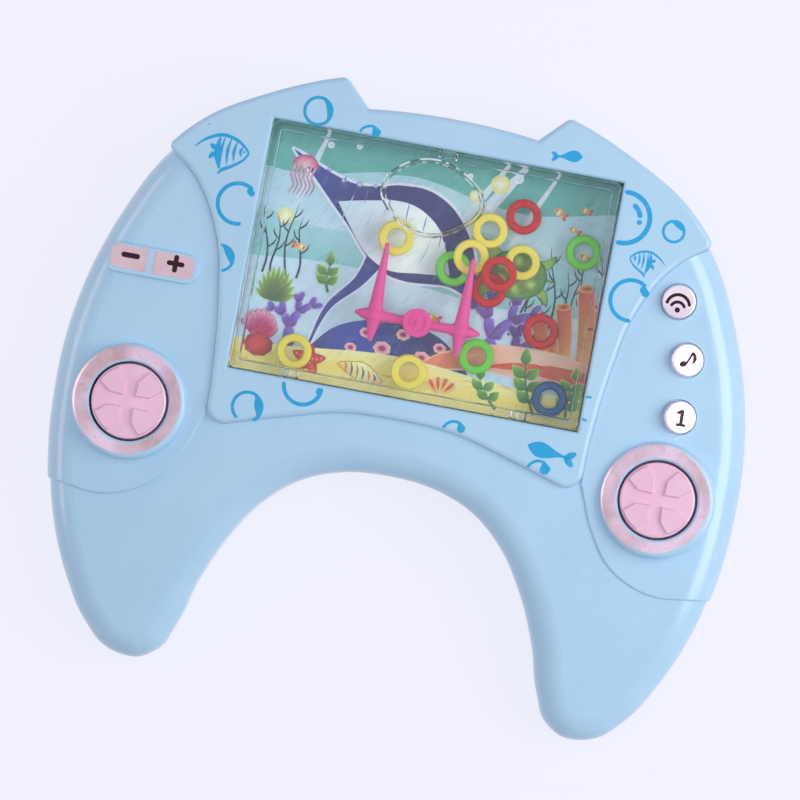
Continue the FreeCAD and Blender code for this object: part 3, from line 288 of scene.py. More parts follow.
class Sheets:
    """Flat shapes gathered into one mesh: grids of points with a colour at every point."""

    def __init__(self, lift, tone=None):
        self.lift = lift
        self.tone = tone
        self.points, self.faces, self.tints = [], [], []
        self.count = 0

    def grid(self, x, y, tint, layer):
        """Points (x, y, lift(x, y, layer)) on rows and columns, each grid a hair above the last one in its layer."""
        rows, cols = x.shape
        layer = layer + HAIR_SHARE * (len(self.faces) % HAIR_COUNT)
        first = self.count + (np.arange(rows - 1)[:, None] * cols + np.arange(cols - 1)).ravel()
        self.faces.append(np.stack([first, first + cols, first + cols + 1, first + 1], 1))
        self.points.append(self.lift(x, y, layer).reshape(-1, 3))
        self.tints.append(np.broadcast_to(tint, x.shape + (3,)).reshape(-1, 3))
        self.count += rows * cols

    def stroke(self, points, widths, tones=None, layer=0, count=0, edge=None, grow=0.0, round_ends=False, light=0.0):
        """Ribbon: line(u) + v * width(u) * left(u) for v from -1 to 1, its tones blended along u.

        An edge is the same ribbon one layer lower, grown all round. The light makes one side paler.
        """
        if edge:
            self.stroke(points, widths, [edge], layer, count, None, grow, round_ends)
            layer, grow = layer + 1, 0.0
        points = np.array(points, float)
        count = count or max(9, 6 * len(points))
        line = smooth_line(points, count)
        along = np.gradient(line, axis=0)
        along /= np.linalg.norm(along, axis=1)[:, None] + 1e-9
        half = np.maximum(smooth_line(widths, count)[:, 0], 0.0)
        if grow:
            half = half + grow
            half[[0, -1]] = 0.45 * half[[0, -1]]
            line[0] -= along[0] * grow
            line[-1] += along[-1] * grow
        if round_ends:
            step = np.linalg.norm(np.diff(line, axis=0), axis=1)
            run = np.concatenate([[0], np.cumsum(step)])
            near = np.minimum(run, run[-1] - run)
            half = half * np.sqrt(np.clip(1 - np.clip(1 - near / (half + 1e-9), 0, 1) ** 2, 0, 1))
        v = np.linspace(-1, 1, 5)
        left = np.stack([-along[:, 1], along[:, 0]], 1)
        place = line[:, None, :] + v[None, :, None] * (half[:, None] * left)[:, None, :]
        tone = np.array(tones or [self.tone], float)[:, :3]
        tone = smooth_line(tone, count) if len(tone) > 1 else np.repeat(tone, count, 0)
        shade = 1 + light * v[None, :, None]
        self.grid(place[..., 0], place[..., 1], np.clip(tone[:, None, :] * shade, 0, 1), layer)

    def disc(self, x, y, radii, tones=None, layer=0, turn=0.0, lobes=0, depth=0.0, span=(0, 360), edge=None):
        """Patch: centre + r (1 + depth cos(lobes a)) (rx cos a, ry sin a) turned, r from 0 to 1."""
        tones = tones or [self.tone]
        if edge:
            rim = 0.3
            self.disc(x, y, (radii[0] + rim, radii[1] + rim), [edge], layer, turn, lobes, depth, span)
            layer += 1
        a = np.radians(np.linspace(span[0], span[1], 6 * lobes + 26))
        r = np.linspace(0, 1, max(4, len(tones) + 1))
        grown = r[:, None] * (1 + depth * np.cos(lobes * a))[None, :]
        px, py = grown * radii[0] * np.cos(a), grown * radii[1] * np.sin(a)
        c, s = math.cos(math.radians(turn)), math.sin(math.radians(turn))
        self.grid(x + c * px - s * py, y + s * px + c * py, blended(tones, len(r))[:, None, :], layer)

    def band(self, low, high, tones, layer=0, wave=(0.0, 9.0, 0.0), wave_low=(0.0, 9.0, 0.0)):
        """Strip over the whole width between two waves: y = level + a sin(x / period + phase)."""
        x = np.linspace(-TANK_X, TANK_X, 61)
        top = high + wave[0] * np.sin(x / wave[1] + wave[2])
        foot = low + wave_low[0] * np.sin(x / wave_low[1] + wave_low[2])
        v = np.linspace(0, 1, max(3, len(tones)))
        tone = blended(tones, len(v))[None]
        self.grid(np.repeat(x[:, None], len(v), 1), foot[:, None] + (top - foot)[:, None] * v, tone, layer)

    def turn_over(self):
        """Turns the drawing over its Y axis: x becomes -x, and the corners of each face run the other way round."""
        self.points = [p * (-1.0, 1.0, 1.0) for p in self.points]
        self.faces = [f[:, ::-1] for f in self.faces]

    def build(self, name, material, slot):
        """One mesh object from all the gathered grids."""
        points = np.vstack(self.points) * MM
        faces = np.vstack(self.faces)
        mesh = bpy.data.meshes.new(name)
        mesh.from_pydata(points.tolist(), [], faces.tolist())
        tint = mesh.attributes.new("tint", "FLOAT_COLOR", "POINT")
        rgba = np.hstack([np.vstack(self.tints), np.ones((len(points), 1))])
        tint.data.foreach_set("color", rgba.astype(np.float32).ravel())
        return settle(name, mesh, material)


def settle(name, mesh, material):
    """Object at the origin that rides on the casing and takes the given material."""
    mesh.materials.append(material)
    mesh.update()
    piece = bpy.data.objects.new(name, mesh)
    bpy.context.scene.collection.objects.link(piece)
    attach(piece, "casing")
    return piece


# ---------------------------------------------------------------- finishes

SHELL_BLUE = paint(173, 212, 241)
SHELL_PALE = paint(179, 217, 245)
shell_plastic = moulded("shell_blue_plastic", SHELL_BLUE, SHELL_PALE, 0.3, 0.55)
cover_plastic = moulded("cover_blue_plastic", SHELL_BLUE, SHELL_PALE, 0.32, 0.5)
rack_plastic = moulded("rack_pink_plastic", paint(234, 66, 150), paint(240, 84, 162), 0.33, 0.0, 0.006, 0.5, 0.15)
cap_plastic = moulded("pump_cap_pink", paint(240, 192, 220), paint(245, 203, 227), 0.34, 0.3)
ring_paints = {
    "yellow": (paint(236, 210, 78), paint(242, 220, 96)),
    "red": (paint(182, 4, 20), paint(196, 12, 28)),
    "green": (paint(96, 190, 52), paint(116, 202, 66)),
    "blue": (paint(6, 64, 116), paint(12, 78, 132)),
}
ring_plastics = {
    name: moulded("ring_%s_plastic" % name, dark, pale, 0.3, 0.0, 0.006, 0.8, 0.2)
    for name, (dark, pale) in ring_paints.items()
}


def soft_rubber(name, colour, rough):
    """Soft moulding: dull, cloudy, dusty in its grain."""
    f = Finish(name, colour, IOR=1.45, Specular_IOR_Level=0.35)
    dust = f.noise(1.1, 3.0, 0.6)
    f.set(Base_Color=f.blend(colour, tinted(colour, 0.82), dust.ramp(0.45, 0.75)))
    f.set(Roughness=rough + dust * 0.2, Normal=f.bump(f.noise(0.3, 2.0), 0.012))
    return f


bulb_rubber = soft_rubber("bulb_white_rubber", paint(218, 218, 210), 0.5)
hose_rubber = soft_rubber("hose_soft_clear", paint(214, 222, 224), 0.3)


def hot_foil(name, warm, cool, rough, wear):
    """Stamped metal foil: fine grain, ring-like brush marks, dull warm patches and rubbed spots."""
    f = Finish(name, cool, Metallic=1.0)
    patches = f.noise(9.0, 3.0, 0.6)
    grain = f.noise(0.16, 2.0, 0.7)
    hairs = f.hairs(0.35, 2.0, 0.5, 0.06, 0.5, 0.03)
    rubbed = f.noise(0.8, 4.0, 0.7).ramp(wear, wear + 0.06)
    tone = f.blend(cool, warm, patches.ramp(0.4, 0.66))
    tone = f.blend(tone, tinted(warm, 0.62), rubbed * 0.7)
    f.set(Base_Color=f.blend(tone, tinted(cool, 0.8), grain.ramp(0.4, 0.75) * 0.5))
    f.set(Roughness=rough + grain * 0.12 + hairs * 0.15 + rubbed * 0.2, Metallic=1.0 - rubbed * 0.3)
    f.set(Normal=f.bump(grain * 0.4 + hairs * 0.6, 0.006))
    return f


pump_foil = hot_foil("pump_ring_foil", paint(198, 164, 166), paint(241, 213, 233), 0.3, 0.62)
pill_foil = hot_foil("pill_foil", paint(210, 176, 180), paint(226, 196, 204), 0.38, 0.66)
cap_foil = hot_foil("round_cap_foil", paint(228, 208, 219), paint(243, 230, 241), 0.24, 0.74)


def plated_steel():
    """Bright plated screw: faint turning marks and dull spots."""
    f = Finish("screw_plated_steel", paint(196, 196, 200), Metallic=1.0)
    spots = f.noise(0.9, 3.0)
    f.set(Roughness=0.22 + spots * 0.25, Normal=f.bump(f.noise(0.12, 1.0, 0.5, (1.0, 0.2, 1.0)), 0.004))
    f.set(Base_Color=f.blend(paint(206, 206, 210), paint(150, 146, 142), spots.ramp(0.55, 0.75)))
    return f


def ink(name, colour, thin):
    """Pad-printed ink: solid in the middle of a patch, thinner where the pad lifted."""
    f = Finish(name, colour, Specular_IOR_Level=0.25)
    lifted = f.noise(0.7, 3.0, 0.6).ramp(0.5, 0.72)
    specks = f.noise(0.14, 2.0).ramp(0.62, 0.72)
    f.set(Base_Color=f.blend(colour, thin, (lifted * 0.6 + specks * 0.35).clamped()))
    f.set(Roughness=0.36 + lifted * 0.12)
    return f


BLUE, PALE_BLUE = paint(44, 166, 224), paint(84, 186, 232)
BROWN, PALE_BROWN = paint(44, 16, 18), paint(66, 34, 36)
cover_ink = ink("cover_blue_ink", BLUE, PALE_BLUE)
mark_ink = ink("mark_brown_ink", BROWN, PALE_BROWN)


def let_light_in(f, shader, tint):
    """Shadow and diffuse rays go straight through a clear thing; all others meet its own shader."""
    through = f.node("ShaderNodeBsdfTransparent", Color=tint)
    f.shaders(shader, through, rays(f.tree, Shadow=1.0, Diffuse=1.0))


def clear_plastic(name, tint, rough=0.02, bend=1.3):
    """Clear moulding: refracts what is seen through it and lets the lamps' light straight in."""
    f = Finish(name, tint, Transmission_Weight=1.0, IOR=bend, Roughness=rough)
    worn = f.noise(12.0, 2.0).ramp(0.5, 0.6)
    f.set(Roughness=rough + f.hairs(0.8, 1.0, 0.4, 0.03, 0.4, 0.008) * worn * 0.15)
    f.set(Normal=f.bump(f.noise(7.0, 2.0), 0.01, 0.35))
    let_light_in(f, Val(f.tree, f.surface.outputs[0]), tint)
    return f


tank_clear = clear_plastic("tank_clear_plastic", paint(252, 255, 255))
plate_clear = clear_plastic("back_plate_clear", paint(253, 255, 255), 0.02, 1.1)
plug_clear = clear_plastic("plug_soft_clear", paint(226, 240, 246), 0.3)

assign(shell_plastic.material, "front_shell", "back_shell")
assign(cover_plastic.material, "front_cover")
assign(tank_clear.material, "tank_body")
assign(plate_clear.material, "tank_back_plate")


def twin(node):
    """Piece of its own with a node's mesh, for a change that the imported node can't take."""
    mesh = nodes[node].data.copy()
    mesh.transform(nodes[node].matrix_world)
    piece = bpy.data.objects.new(node + "_seen", mesh)
    bpy.context.scene.collection.objects.link(piece)
    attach(piece, "casing")
    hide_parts(node)
    return piece


def lowered_plate(level, gap):
    """Back plate whose face at one height lies a hair lower, so that no two clear faces share a plane."""
    piece = twin("tank_back_plate")
    spots = np.empty(len(piece.data.vertices) * 3)
    piece.data.vertices.foreach_get("co", spots)
    spots = spots.reshape(-1, 3)
    on_face = np.abs(spots[:, 2] - level * MM) < 0.002 * MM
    spots[on_face, 2] -= gap * MM
    piece.data.vertices.foreach_set("co", spots.ravel())
    piece.data.update()
    piece.visible_shadow = False
    piece.visible_diffuse = False


lowered_plate(PLATE_TOP, PLATE_DROP)
assign(rack_plastic.material, "peg_rack")
for name in nodes:
    if name.startswith("ring_"):
        assign(ring_plastics[name.split("_")[1]].material, name)
for side in ("left", "right"):
    assign(cap_plastic.material, "pump_button_" + side)
    assign(pump_foil.material, "pump_foil_" + side)
    assign(bulb_rubber.material, "pump_bulb_" + side)
    assign(hose_rubber.material, "pump_hose_" + side)
    assign(tank_clear.material, "jet_nozzle_" + side)
    bulb = twin("pump_bulb_" + side)
    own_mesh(bulb)
assign(plug_clear.material, "fill_plug")
assign(pill_foil.material, "volume_minus_foil", "volume_plus_foil")
assign(cap_foil.material, "signal_cap", "music_cap", "number_cap")
assign(plated_steel().material, "back_screws")


# ---------------------------------------------------------------- print on the front cover

EYE_BLUE = paint(196, 228, 246)


def on_cover(x, y, layer):
    """A print point lies on the crowned cover, each layer a little higher."""
    return np.stack([x, y, crown_height(x, y, COVER_RAISE) + PRINT_GAP + PRINT_STEP * layer], -1)


cover_print = Sheets(on_cover, BLUE)


def print_bubble(x, y, radius, start=0, end=360, line=0.27, shine=(-35, 70), full=0.85, inner=None):
    """Ring whose line swells to a crescent between the shine's angles; inner is a second arc inside it."""
    a = np.linspace(start, end, 25)
    middle = (shine[0] + shine[1]) / 2
    reach = (shine[1] - shine[0]) / 2
    off = np.abs((a - middle + 180) % 360 - 180)
    swell = np.clip(1 - (off / reach) ** 2, 0, 1)
    half = line + (full - line) * swell * 0.5
    cut = radius - (half - line)
    points = np.stack([x + cut * np.cos(np.radians(a)), y + cut * np.sin(np.radians(a))], 1)
    cover_print.stroke(points, half, count=73, round_ends=end - start < 359)
    if inner:
        share, inner_start, inner_end, width = inner
        curve = arc(x, y, radius * share, inner_start, inner_end)
        cover_print.stroke(curve, [width, width], layer=1, round_ends=True)


print_bubble(-23.3, 45.9, 2.35)
print_bubble(-13.7, 43.0, 2.0, 20, 160, 0.22, (-10, 80), 1.5)
print_bubble(-34.0, 27.7, 3.5, 52, 290, 0.34, (200, 201), 0.34, (0.84, 36, 66, 0.5))
print_bubble(-35.2, 18.0, 2.2, -78, 100, 0.25, (-20, 90), 1.2)
print_bubble(-26.0, -6.4, 2.55, -58, 238, 0.28, (-30, 60), 1.3)
print_bubble(-17.2, -1.0, 3.3, 178, 362, 0.34, (0, 1), 0.34, (0.86, -22, 2, 0.35))
print_bubble(9.8, -4.3, 2.0, 14, 165, 0.25, (-10, 70), 1.3)
print_bubble(25.3, -8.3, 2.0, 0, 165, 0.25, (-20, 70), 1.7)
print_bubble(31.8, 37.5, 4.4, -99, 99, 0.42, (200, 201), 0.42, (0.62, 8, 66, 0.42))
cover_print.disc(34.5, 37.15, (0.45, 0.45), layer=1)
print_bubble(40.6, 36.7, 1.8, 0, 360, 0.24, (10, 110), 0.9)
print_bubble(35.5, 23.7, 3.5, 52, 280, 0.34, (200, 201), 0.34, (0.8, 22, 62, 0.62))
cover_print.stroke([(30.95, 6.0), (32.0, 6.1)], [0.2, 0.2], round_ends=True)
cover_print.stroke([(30.95, 2.2), (31.9, 1.95)], [0.22, 0.22], round_ends=True)


def print_fish(x, y, length, heading, tall):
    """Plain fish outline: a body that swells and narrows to the tail root, and a forked tail."""
    c, s = math.cos(math.radians(heading)), math.sin(math.radians(heading))

    def turned(points):
        p = np.array(points, float) * length
        return np.stack([x + c * p[:, 0] - s * p[:, 1], y + s * p[:, 0] + c * p[:, 1]], 1)

    body = np.array([0.02, 0.62, 0.95, 1.0, 0.86, 0.62, 0.36, 0.2, 0.16]) * tall * length
    spine = turned([(0.5, 0.0), (0.36, 0.01), (0.22, 0.015), (0.08, 0.015), (-0.06, 0.01), (-0.2, 0), (-0.34, 0)])
    cover_print.stroke(spine, body, count=40)
    for lean in (-1, 1):
        tail = turned([(-0.3, 0.0), (-0.4, 0.06 * lean), (-0.5, 0.14 * lean)])
        cover_print.stroke(tail, np.array([0.03, 0.07, 0.035]) * length, layer=1)
    cover_print.disc(*turned([(0.33, 0.045)])[0], (0.035 * length, 0.035 * length), [EYE_BLUE], 3)


print_fish(20.3, 46.0, 5.3, 8.8, 0.19)
print_fish(26.8, -4.5, 8.4, 171.7, 0.16)


def print_angelfish(x, y, size, face):
    """Tall striped fish: back and belly lines, four stripes and a long trailing fin."""

    def line(points, widths, layer=0):
        p = np.array(points, float) * size
        cover_print.stroke(np.stack([x + face * p[:, 0], y + p[:, 1]], 1), np.array(widths) * size, layer=layer)

    back = [(0.5, 0.06), (0.36, 0.2), (0.14, 0.31), (-0.12, 0.33), (-0.4, 0.2), (-0.6, 0.02)]
    belly = [(0.5, 0.06), (0.4, -0.1), (0.22, -0.24), (0.02, -0.36), (-0.06, -0.46)]
    line(back, [0.02, 0.03, 0.035, 0.03, 0.01])
    line(belly, [0.02, 0.025, 0.03, 0.035, 0.01])
    for k, (high, low) in enumerate(((0.17, -0.04), (0.25, -0.16), (0.29, -0.24), (0.3, -0.32))):
        at = 0.36 - 0.13 * k
        line([(at, high), (at - 0.035, (high + low) / 2), (at - 0.01, low)], [0.008, 0.032, 0.006], 1)
    line([(-0.12, 0.3), (-0.14, 0.1), (-0.12, -0.1), (-0.04, -0.34)], [0.01, 0.05, 0.06, 0.02], 2)
    line([(-0.14, 0.02), (-0.24, 0.08), (-0.3, 0.12)], [0.03, 0.05, 0.01], 3)
    line([(-0.14, -0.02), (-0.23, -0.1), (-0.28, -0.18)], [0.03, 0.05, 0.01], 3)
    cover_print.disc(x + face * 0.4 * size, y + 0.07 * size, (0.022 * size,) * 2, layer=3)


print_angelfish(-38.0, 36.0, 8.6, 1)
print_angelfish(36.8, 30.6, 5.6, -1)
for dot_x, dot_y, dot_size in ((-41.4, 40.3, 0.14), (-29.2, 12.4, 0.09), (22.6, -7.0, 0.1), (38.2, 26.7, 0.08)):
    cover_print.disc(dot_x, dot_y, (dot_size, dot_size))
cover_print.build("cover_print", cover_ink.material, "cover")


# ---------------------------------------------------------------- marks on the small caps and the pill

PILL_TOP = 1.0
CAP_TOP = 1.5


def mark_sheet(x, y, height, turn=0.0, lean=0.0, heading=0.0):
    """Drawing plane on top of a cap: turned about its middle, leaning like the cap, lifted off the face."""
    spot, axes = square_to_crown(x, y, WING_RAISE)
    pivot = (-math.sin(math.radians(heading)), math.cos(math.radians(heading)), 0.0)
    axes = axes @ np.array(Matrix.Rotation(math.radians(lean), 3, pivot)).T
    c, s = math.cos(math.radians(turn)), math.sin(math.radians(turn))

    def lift(a, b, layer):
        up = np.full(a.shape, height + PRINT_GAP + PRINT_STEP * layer)
        return spot + np.stack([c * a - s * b, s * a + c * b, up], -1) @ axes

    return Sheets(lift, BROWN)


volume_marks = mark_sheet(-46.3, 14.96, PILL_TOP)
volume_marks.stroke([(-5.9, 0.6), (-2.6, 0.6)], [0.46, 0.46], count=41, round_ends=True)
volume_marks.stroke([(2.15, 0.6), (5.3, 0.6)], [0.42, 0.42], count=41, round_ends=True)
volume_marks.stroke([(3.72, -0.95), (3.72, 2.15)], [0.42, 0.42], layer=1, count=41, round_ends=True)
volume_marks.build("volume_marks", mark_ink.material, "foil")

signal_mark = mark_sheet(43.62, 25.02, CAP_TOP, 1.4)
signal_mark.disc(-0.13, -1.48, (0.46, 0.46))
signal_mark.stroke(arc(-0.13, -1.34, 1.24, 16, 165), [0.27, 0.27], count=41, round_ends=True)
signal_mark.stroke(arc(-0.13, -0.8, 1.97, 6, 177), [0.28, 0.28], count=51, round_ends=True)
signal_mark.build("signal_mark", mark_ink.material, "cap_metal")

music_mark = mark_sheet(46.7, 15.3, CAP_TOP, 2.0, 12.0, 35.0)
music_mark.disc(-0.78, -0.82, (0.68, 0.5), turn=24.0)
music_mark.stroke([(-0.28, -0.7), (0.3, 0.5), (0.68, 1.4)], [0.19, 0.19, 0.2], layer=1)
music_mark.stroke([(0.68, 1.45), (1.12, 0.65), (1.05, -0.1), (0.66, -0.55)], [0.2, 0.32, 0.24, 0.05])
music_mark.build("music_mark", mark_ink.material, "cap_metal")

number_mark = mark_sheet(47.2, 5.45, CAP_TOP, 2.0, 13.0, 20.0)
number_mark.stroke([(0.15, -1.3), (0.15, 1.3)], [0.33, 0.33], count=41)
number_mark.stroke([(0.2, 1.3), (-0.2, 0.9), (-0.78, 0.68)], [0.28, 0.28, 0.24], layer=1)
number_mark.stroke([(-0.7, -1.3), (1.0, -1.3)], [0.25, 0.25], layer=2)
number_mark.build("number_mark", mark_ink.material, "cap_metal")


# ---------------------------------------------------------------- printed sea scene behind the tank


def on_card(x, y, layer):
    """A picture point stays on the card; each layer of ink lies a little higher."""
    inside_x = np.clip(x, -TANK_X, TANK_X)
    inside_y = np.clip(y, TANK_LOW_Y, TANK_HIGH_Y)
    return np.stack([inside_x, inside_y, np.full(x.shape, CARD_Z[1] + INK_STEP * layer)], -1)


def spoke(x, y, reach_x, reach_y, degrees):
    """Point on an ellipse about a middle: (x + rx cos a, y + ry sin a)."""
    a = math.radians(degrees)
    return x + reach_x * math.cos(a), y + reach_y * math.sin(a)


sea = Sheets(on_card)
rng = np.random.default_rng(7)

TEAL, DEEP_TEAL = paint(98, 178, 170), paint(66, 148, 144)
WATER, PALE_WATER, GREY_WATER = paint(172, 210, 222), paint(206, 224, 240), paint(146, 202, 206)
LILAC_WHITE, WHITE, LILAC = paint(234, 232, 248), paint(254, 253, 255), paint(206, 190, 230)
NAVY, ROYAL, DUSK, MAUVE = paint(32, 30, 116), paint(44, 66, 170), paint(56, 36, 120), paint(120, 92, 110)
PURPLE, DEEP_PURPLE, VIOLET = paint(116, 78, 178), paint(96, 36, 126), paint(136, 112, 204)
ORANGE, AMBER, EMBER, RUST = paint(240, 138, 62), paint(248, 192, 92), paint(222, 84, 44), paint(150, 48, 30)
SALMON, PALE_SALMON, RED = paint(246, 134, 104), paint(255, 198, 172), paint(228, 48, 36)
SAND, PALE_SAND, BROWN_SAND = paint(255, 222, 108), paint(255, 240, 168), paint(214, 140, 66)
STRAW = paint(240, 222, 150)
LEAF, DARK_LEAF, LIME, PALE_LIME = paint(92, 148, 66), paint(48, 104, 58), paint(150, 186, 74), paint(190, 222, 120)
OLIVE, KELP_BLACK = paint(112, 126, 66), paint(34, 52, 60)
PINK, MAGENTA, ROSE = paint(246, 158, 188), paint(204, 44, 112), paint(222, 42, 62)
WINE, DARK_RED, DARK_ROSE = paint(140, 14, 50), paint(150, 20, 24), paint(150, 16, 40)

# Water in bands, light from above and drifting bubbles
sea.band(TANK_LOW_Y, TANK_HIGH_Y, [PALE_WATER, PALE_WATER, WATER], 0)
sea.band(36.6, TANK_HIGH_Y, [TEAL, TEAL, DEEP_TEAL], 1, wave_low=(1.5, 6.5, 0.6))
sea.band(19.5, 28.6, [GREY_WATER, WATER], 1, (2.2, 8.0, 2.4), (1.2, 10.0, 0.0))
for x0, x1, wide in ((-13.6, -4.2, 1.3), (-10.6, -2.6, 0.8), (-19.5, -13.0, 0.6), (21.0, 25.0, 0.7)):
    shaft = [(x0, 43), ((x0 + x1) / 2, 36), (x1, 28)]
    sea.stroke(shaft, [wide * 0.4, wide * 0.8, wide], [LILAC_WHITE, PALE_WATER], 2)
for x, y, r in ((-9.6, 39.4, 1.7), (-6.0, 36.8, 1.2), (26.0, 27.4, 1.4)):
    sea.disc(x, y, (r, r), [WHITE, PALE_SAND, STRAW], 2)
for x, y, r in ((-12.6, 40.9, 0.8), (-4.2, 39.9, 0.5), (-8.4, 35.2, 0.45), (20.5, 40.8, 0.6), (15.6, 41.4, 0.5)):
    sea.disc(x, y, (r, r), [PALE_WATER, LILAC_WHITE, WHITE], 2)
    sea.disc(x + r * 0.3, y + r * 0.3, (r * 0.25, r * 0.25), [WHITE], 3)


def seaweed(x, y, height, sway, lean):
    """Thin dark strand with short side blades."""
    t = np.linspace(0, 1, 6)
    line = np.stack([x + lean * t + sway * np.sin(5.0 * t + x), y + height * t], 1)
    sea.stroke(line, [0.2, 0.17, 0.12, 0.04], [KELP_BLACK], 3)
    for k in (2, 3, 4):
        side = 1 if (k + int(abs(x))) % 2 else -1
        tip = line[k] + (side * 1.3, 1.9)
        middle = (line[k] + tip) / 2 + (side * 0.25, -0.1)
        sea.stroke([line[k], middle, tip], [0.13, 0.14, 0.03], [KELP_BLACK], 3)


for k in range(9):
    root_y = 15.0 + rng.uniform(-1, 1)
    seaweed(-29.3 + 1.75 * k, root_y, rng.uniform(9.5, 15.5), rng.uniform(0.4, 0.9), rng.uniform(-1, 1.4))
for k in range(4):
    seaweed(22.6 + 1.9 * k, 17.0, rng.uniform(9.0, 13.5), 0.6, rng.uniform(0.0, 1.0))

# Large ray with a pale underside, dark spotted wing edges and a long tail
ray_spine = [(-9.5, 18.2), (-4.6, 23.6), (1.6, 27.2), (8.6, 29.6), (16.5, 32.6), (26.6, 38.9)]
ray_tail = [(8.6, 24.5), (11.4, 18.6), (16.0, 13.0), (18.4, 5.0)]
ray_widths = [0.05, 2.3, 5.4, 7.6, 8.1, 6.6, 3.6, 1.5, 0.05]
sea.stroke(ray_tail, [1.9, 0.95, 0.5, 0.12], [NAVY, ROYAL], 4, 30, LILAC_WHITE, 0.35)
sea.stroke(ray_spine, ray_widths, [ROYAL, NAVY, NAVY, NAVY, ROYAL], 4, 44, LILAC_WHITE, 0.55)
belly = [(x + 0.9, y - 1.2) for x, y in ray_spine[1:-1]]
belly_tones = [LILAC_WHITE, WHITE, LILAC_WHITE, PALE_WATER]
sea.stroke(belly, [0.1, 3.0, 5.2, 6.0, 5.2, 2.9, 0.1], belly_tones, 6, 40, light=0.05)
for spot in smooth_line(belly, 13)[1::2]:
    vein = [spot + (-0.4, 2.6), spot + (0.2, 0.2), spot + (1.1, -2.4)]
    sea.stroke(vein, [0.02, 0.13, 0.02], [PALE_WATER, WATER], 7)
for x, y, r in (
    (-3.4, 25.6, 0.5), (-1.8, 27.6, 0.4), (14.4, 35.0, 0.6), (17.2, 35.2, 0.5), (20.0, 36.6, 0.45), (11.6, 35.2, 0.4),
):
    sea.disc(x, y, (r, r * 0.8), [LILAC_WHITE, VIOLET], 6)
for k, root in enumerate(smooth_line(ray_spine, 101)[20:81:10]):
    fold = [root + (0.3, 5.4 - 7 * abs(0.1 * k - 0.3)), root + (0.5, 3.0), root + (0.6, 1.0)]
    sea.stroke(fold, [0.03, 0.1, 0.02], [ROYAL, VIOLET], 7)

# Dark reef on a pink ground coat, with pink tube mouths, behind the rack
reef = [(-9.5, 5.2), (-3.0, 8.4), (4.5, 8.6), (12.0, 7.4), (17.5, 5.0)]
sea.stroke(reef, [1.0, 3.2, 4.2, 3.4, 1.0], [DUSK, NAVY, ROYAL, DUSK], 4, 34, PINK)
for x, y, r in (
    (-4.4, 9.6, 1.1), (-1.6, 7.4, 1.4), (2.2, 10.8, 1.2), (5.4, 7.8, 1.5), (8.6, 10.0, 1.1), (10.8, 7.0, 1.0),
):
    sea.disc(x, y, (r, r * 0.8), [MAGENTA, PINK, PALE_SALMON], 6, lobes=7, depth=0.06)
    sea.disc(x, y, (r * 0.45, r * 0.34), [DEEP_PURPLE, MAGENTA], 7)


def antler(x, y, angle, length, width, depth, tones):
    """Branching coral: each arm ends in two shorter arms spread to its sides."""
    tip = spoke(x, y, length, length, angle)
    bow = 0.12 * length * math.sin(math.radians(angle))
    bend = (0.5 * (x + tip[0]) + bow, 0.5 * (y + tip[1]) + 0.05 * length)
    sea.stroke([(x, y), bend, tip], [width, width * 0.9, width * 0.86], tones, 6, 11, LILAC, 0.2, True, 0.22)
    if depth:
        for spread, share in ((27, 0.8), (-31, 0.72)):
            antler(tip[0], tip[1] - 0.2, angle + spread, length * share, width * 0.8, depth - 1, tones)


antler(-12.6, 7.5, 98, 5.6, 1.25, 3, [DEEP_PURPLE, PURPLE, VIOLET])
antler(-16.2, 7.5, 112, 4.2, 1.1, 2, [DEEP_PURPLE, PURPLE])
antler(21.2, 5.0, 84, 3.8, 1.0, 3, [DEEP_PURPLE, PURPLE, VIOLET])

# Orange tube sponges
SPONGE_FOOT = 8.0
for x0, x1, y1, wide in (
    (-29.2, -27.6, 24.4, 1.45), (-26.0, -24.2, 20.6, 1.3), (-22.8, -20.4, 17.4, 1.2), (-27.4, -29.4, 17.6, 1.0),
    (-24.4, -23.0, 14.4, 1.0),
):
    tube = [(x0, SPONGE_FOOT), ((x0 + x1) / 2 - 0.4, (SPONGE_FOOT + y1) / 2), (x1, y1)]
    tube_widths = [wide * 0.7, wide * 0.86, wide]
    sea.stroke(tube, tube_widths, [AMBER, ORANGE, EMBER], 6, 20, PALE_SALMON, 0.18, light=0.2)
    sea.disc(x1, y1, (wide * 1.02, wide * 0.5), [RUST, EMBER, AMBER], 8, -12)
    for k in range(4):
        y = 9.5 + (y1 - 10.5) * (k + 0.5) / 4
        x = x0 + (x1 - x0) * (y - SPONGE_FOOT) / (y1 - SPONGE_FOOT)
        sea.stroke([(x - wide * 0.5, y), (x, y - 0.25), (x + wide * 0.5, y)], [0.03, 0.09, 0.03], [EMBER], 8)

# Salmon ledge and the sand
ledge = [(-32, 7.6), (-24, 9.4), (-14, 9.6), (-6, 7.8), (-1.0, 5.6)]
ledge_tones = [SALMON, PALE_SALMON, SALMON, SALMON]
sea.stroke(ledge, [3.0, 2.8, 2.2, 1.4, 0.3], ledge_tones, 8, 40, PALE_SALMON, 0.25, light=0.12)
sea.stroke([(-32, 8.6), (-25, 9.0), (-18, 8.9), (-11.5, 7.8)], [1.3, 1.15, 0.7, 0.05], [RED, EMBER, RED], 10, 30)
for k in range(6):
    x = -28.5 + 4.2 * k
    crack = [(x, 11.0 - 0.25 * k), (x + 1.6, 10.2 - 0.2 * k), (x + 3.4, 10.4 - 0.35 * k)]
    sea.stroke(crack, [0.02, 0.09, 0.02], [PALE_SALMON], 10)
sea.band(TANK_LOW_Y, 6.0, [PALE_SAND, SAND, PALE_SAND], 9, (0.9, 7.5, 1.2))
for k in range(15):
    x, y, w = rng.uniform(-29, 29), rng.uniform(0.6, 5.2), rng.uniform(0.06, 0.14)
    sea.stroke([(x, y), (x + 1.4, y + 0.35), (x + 3.0, y + 0.05)], [0.02, w, 0.02], [BROWN_SAND, SAND], 10)
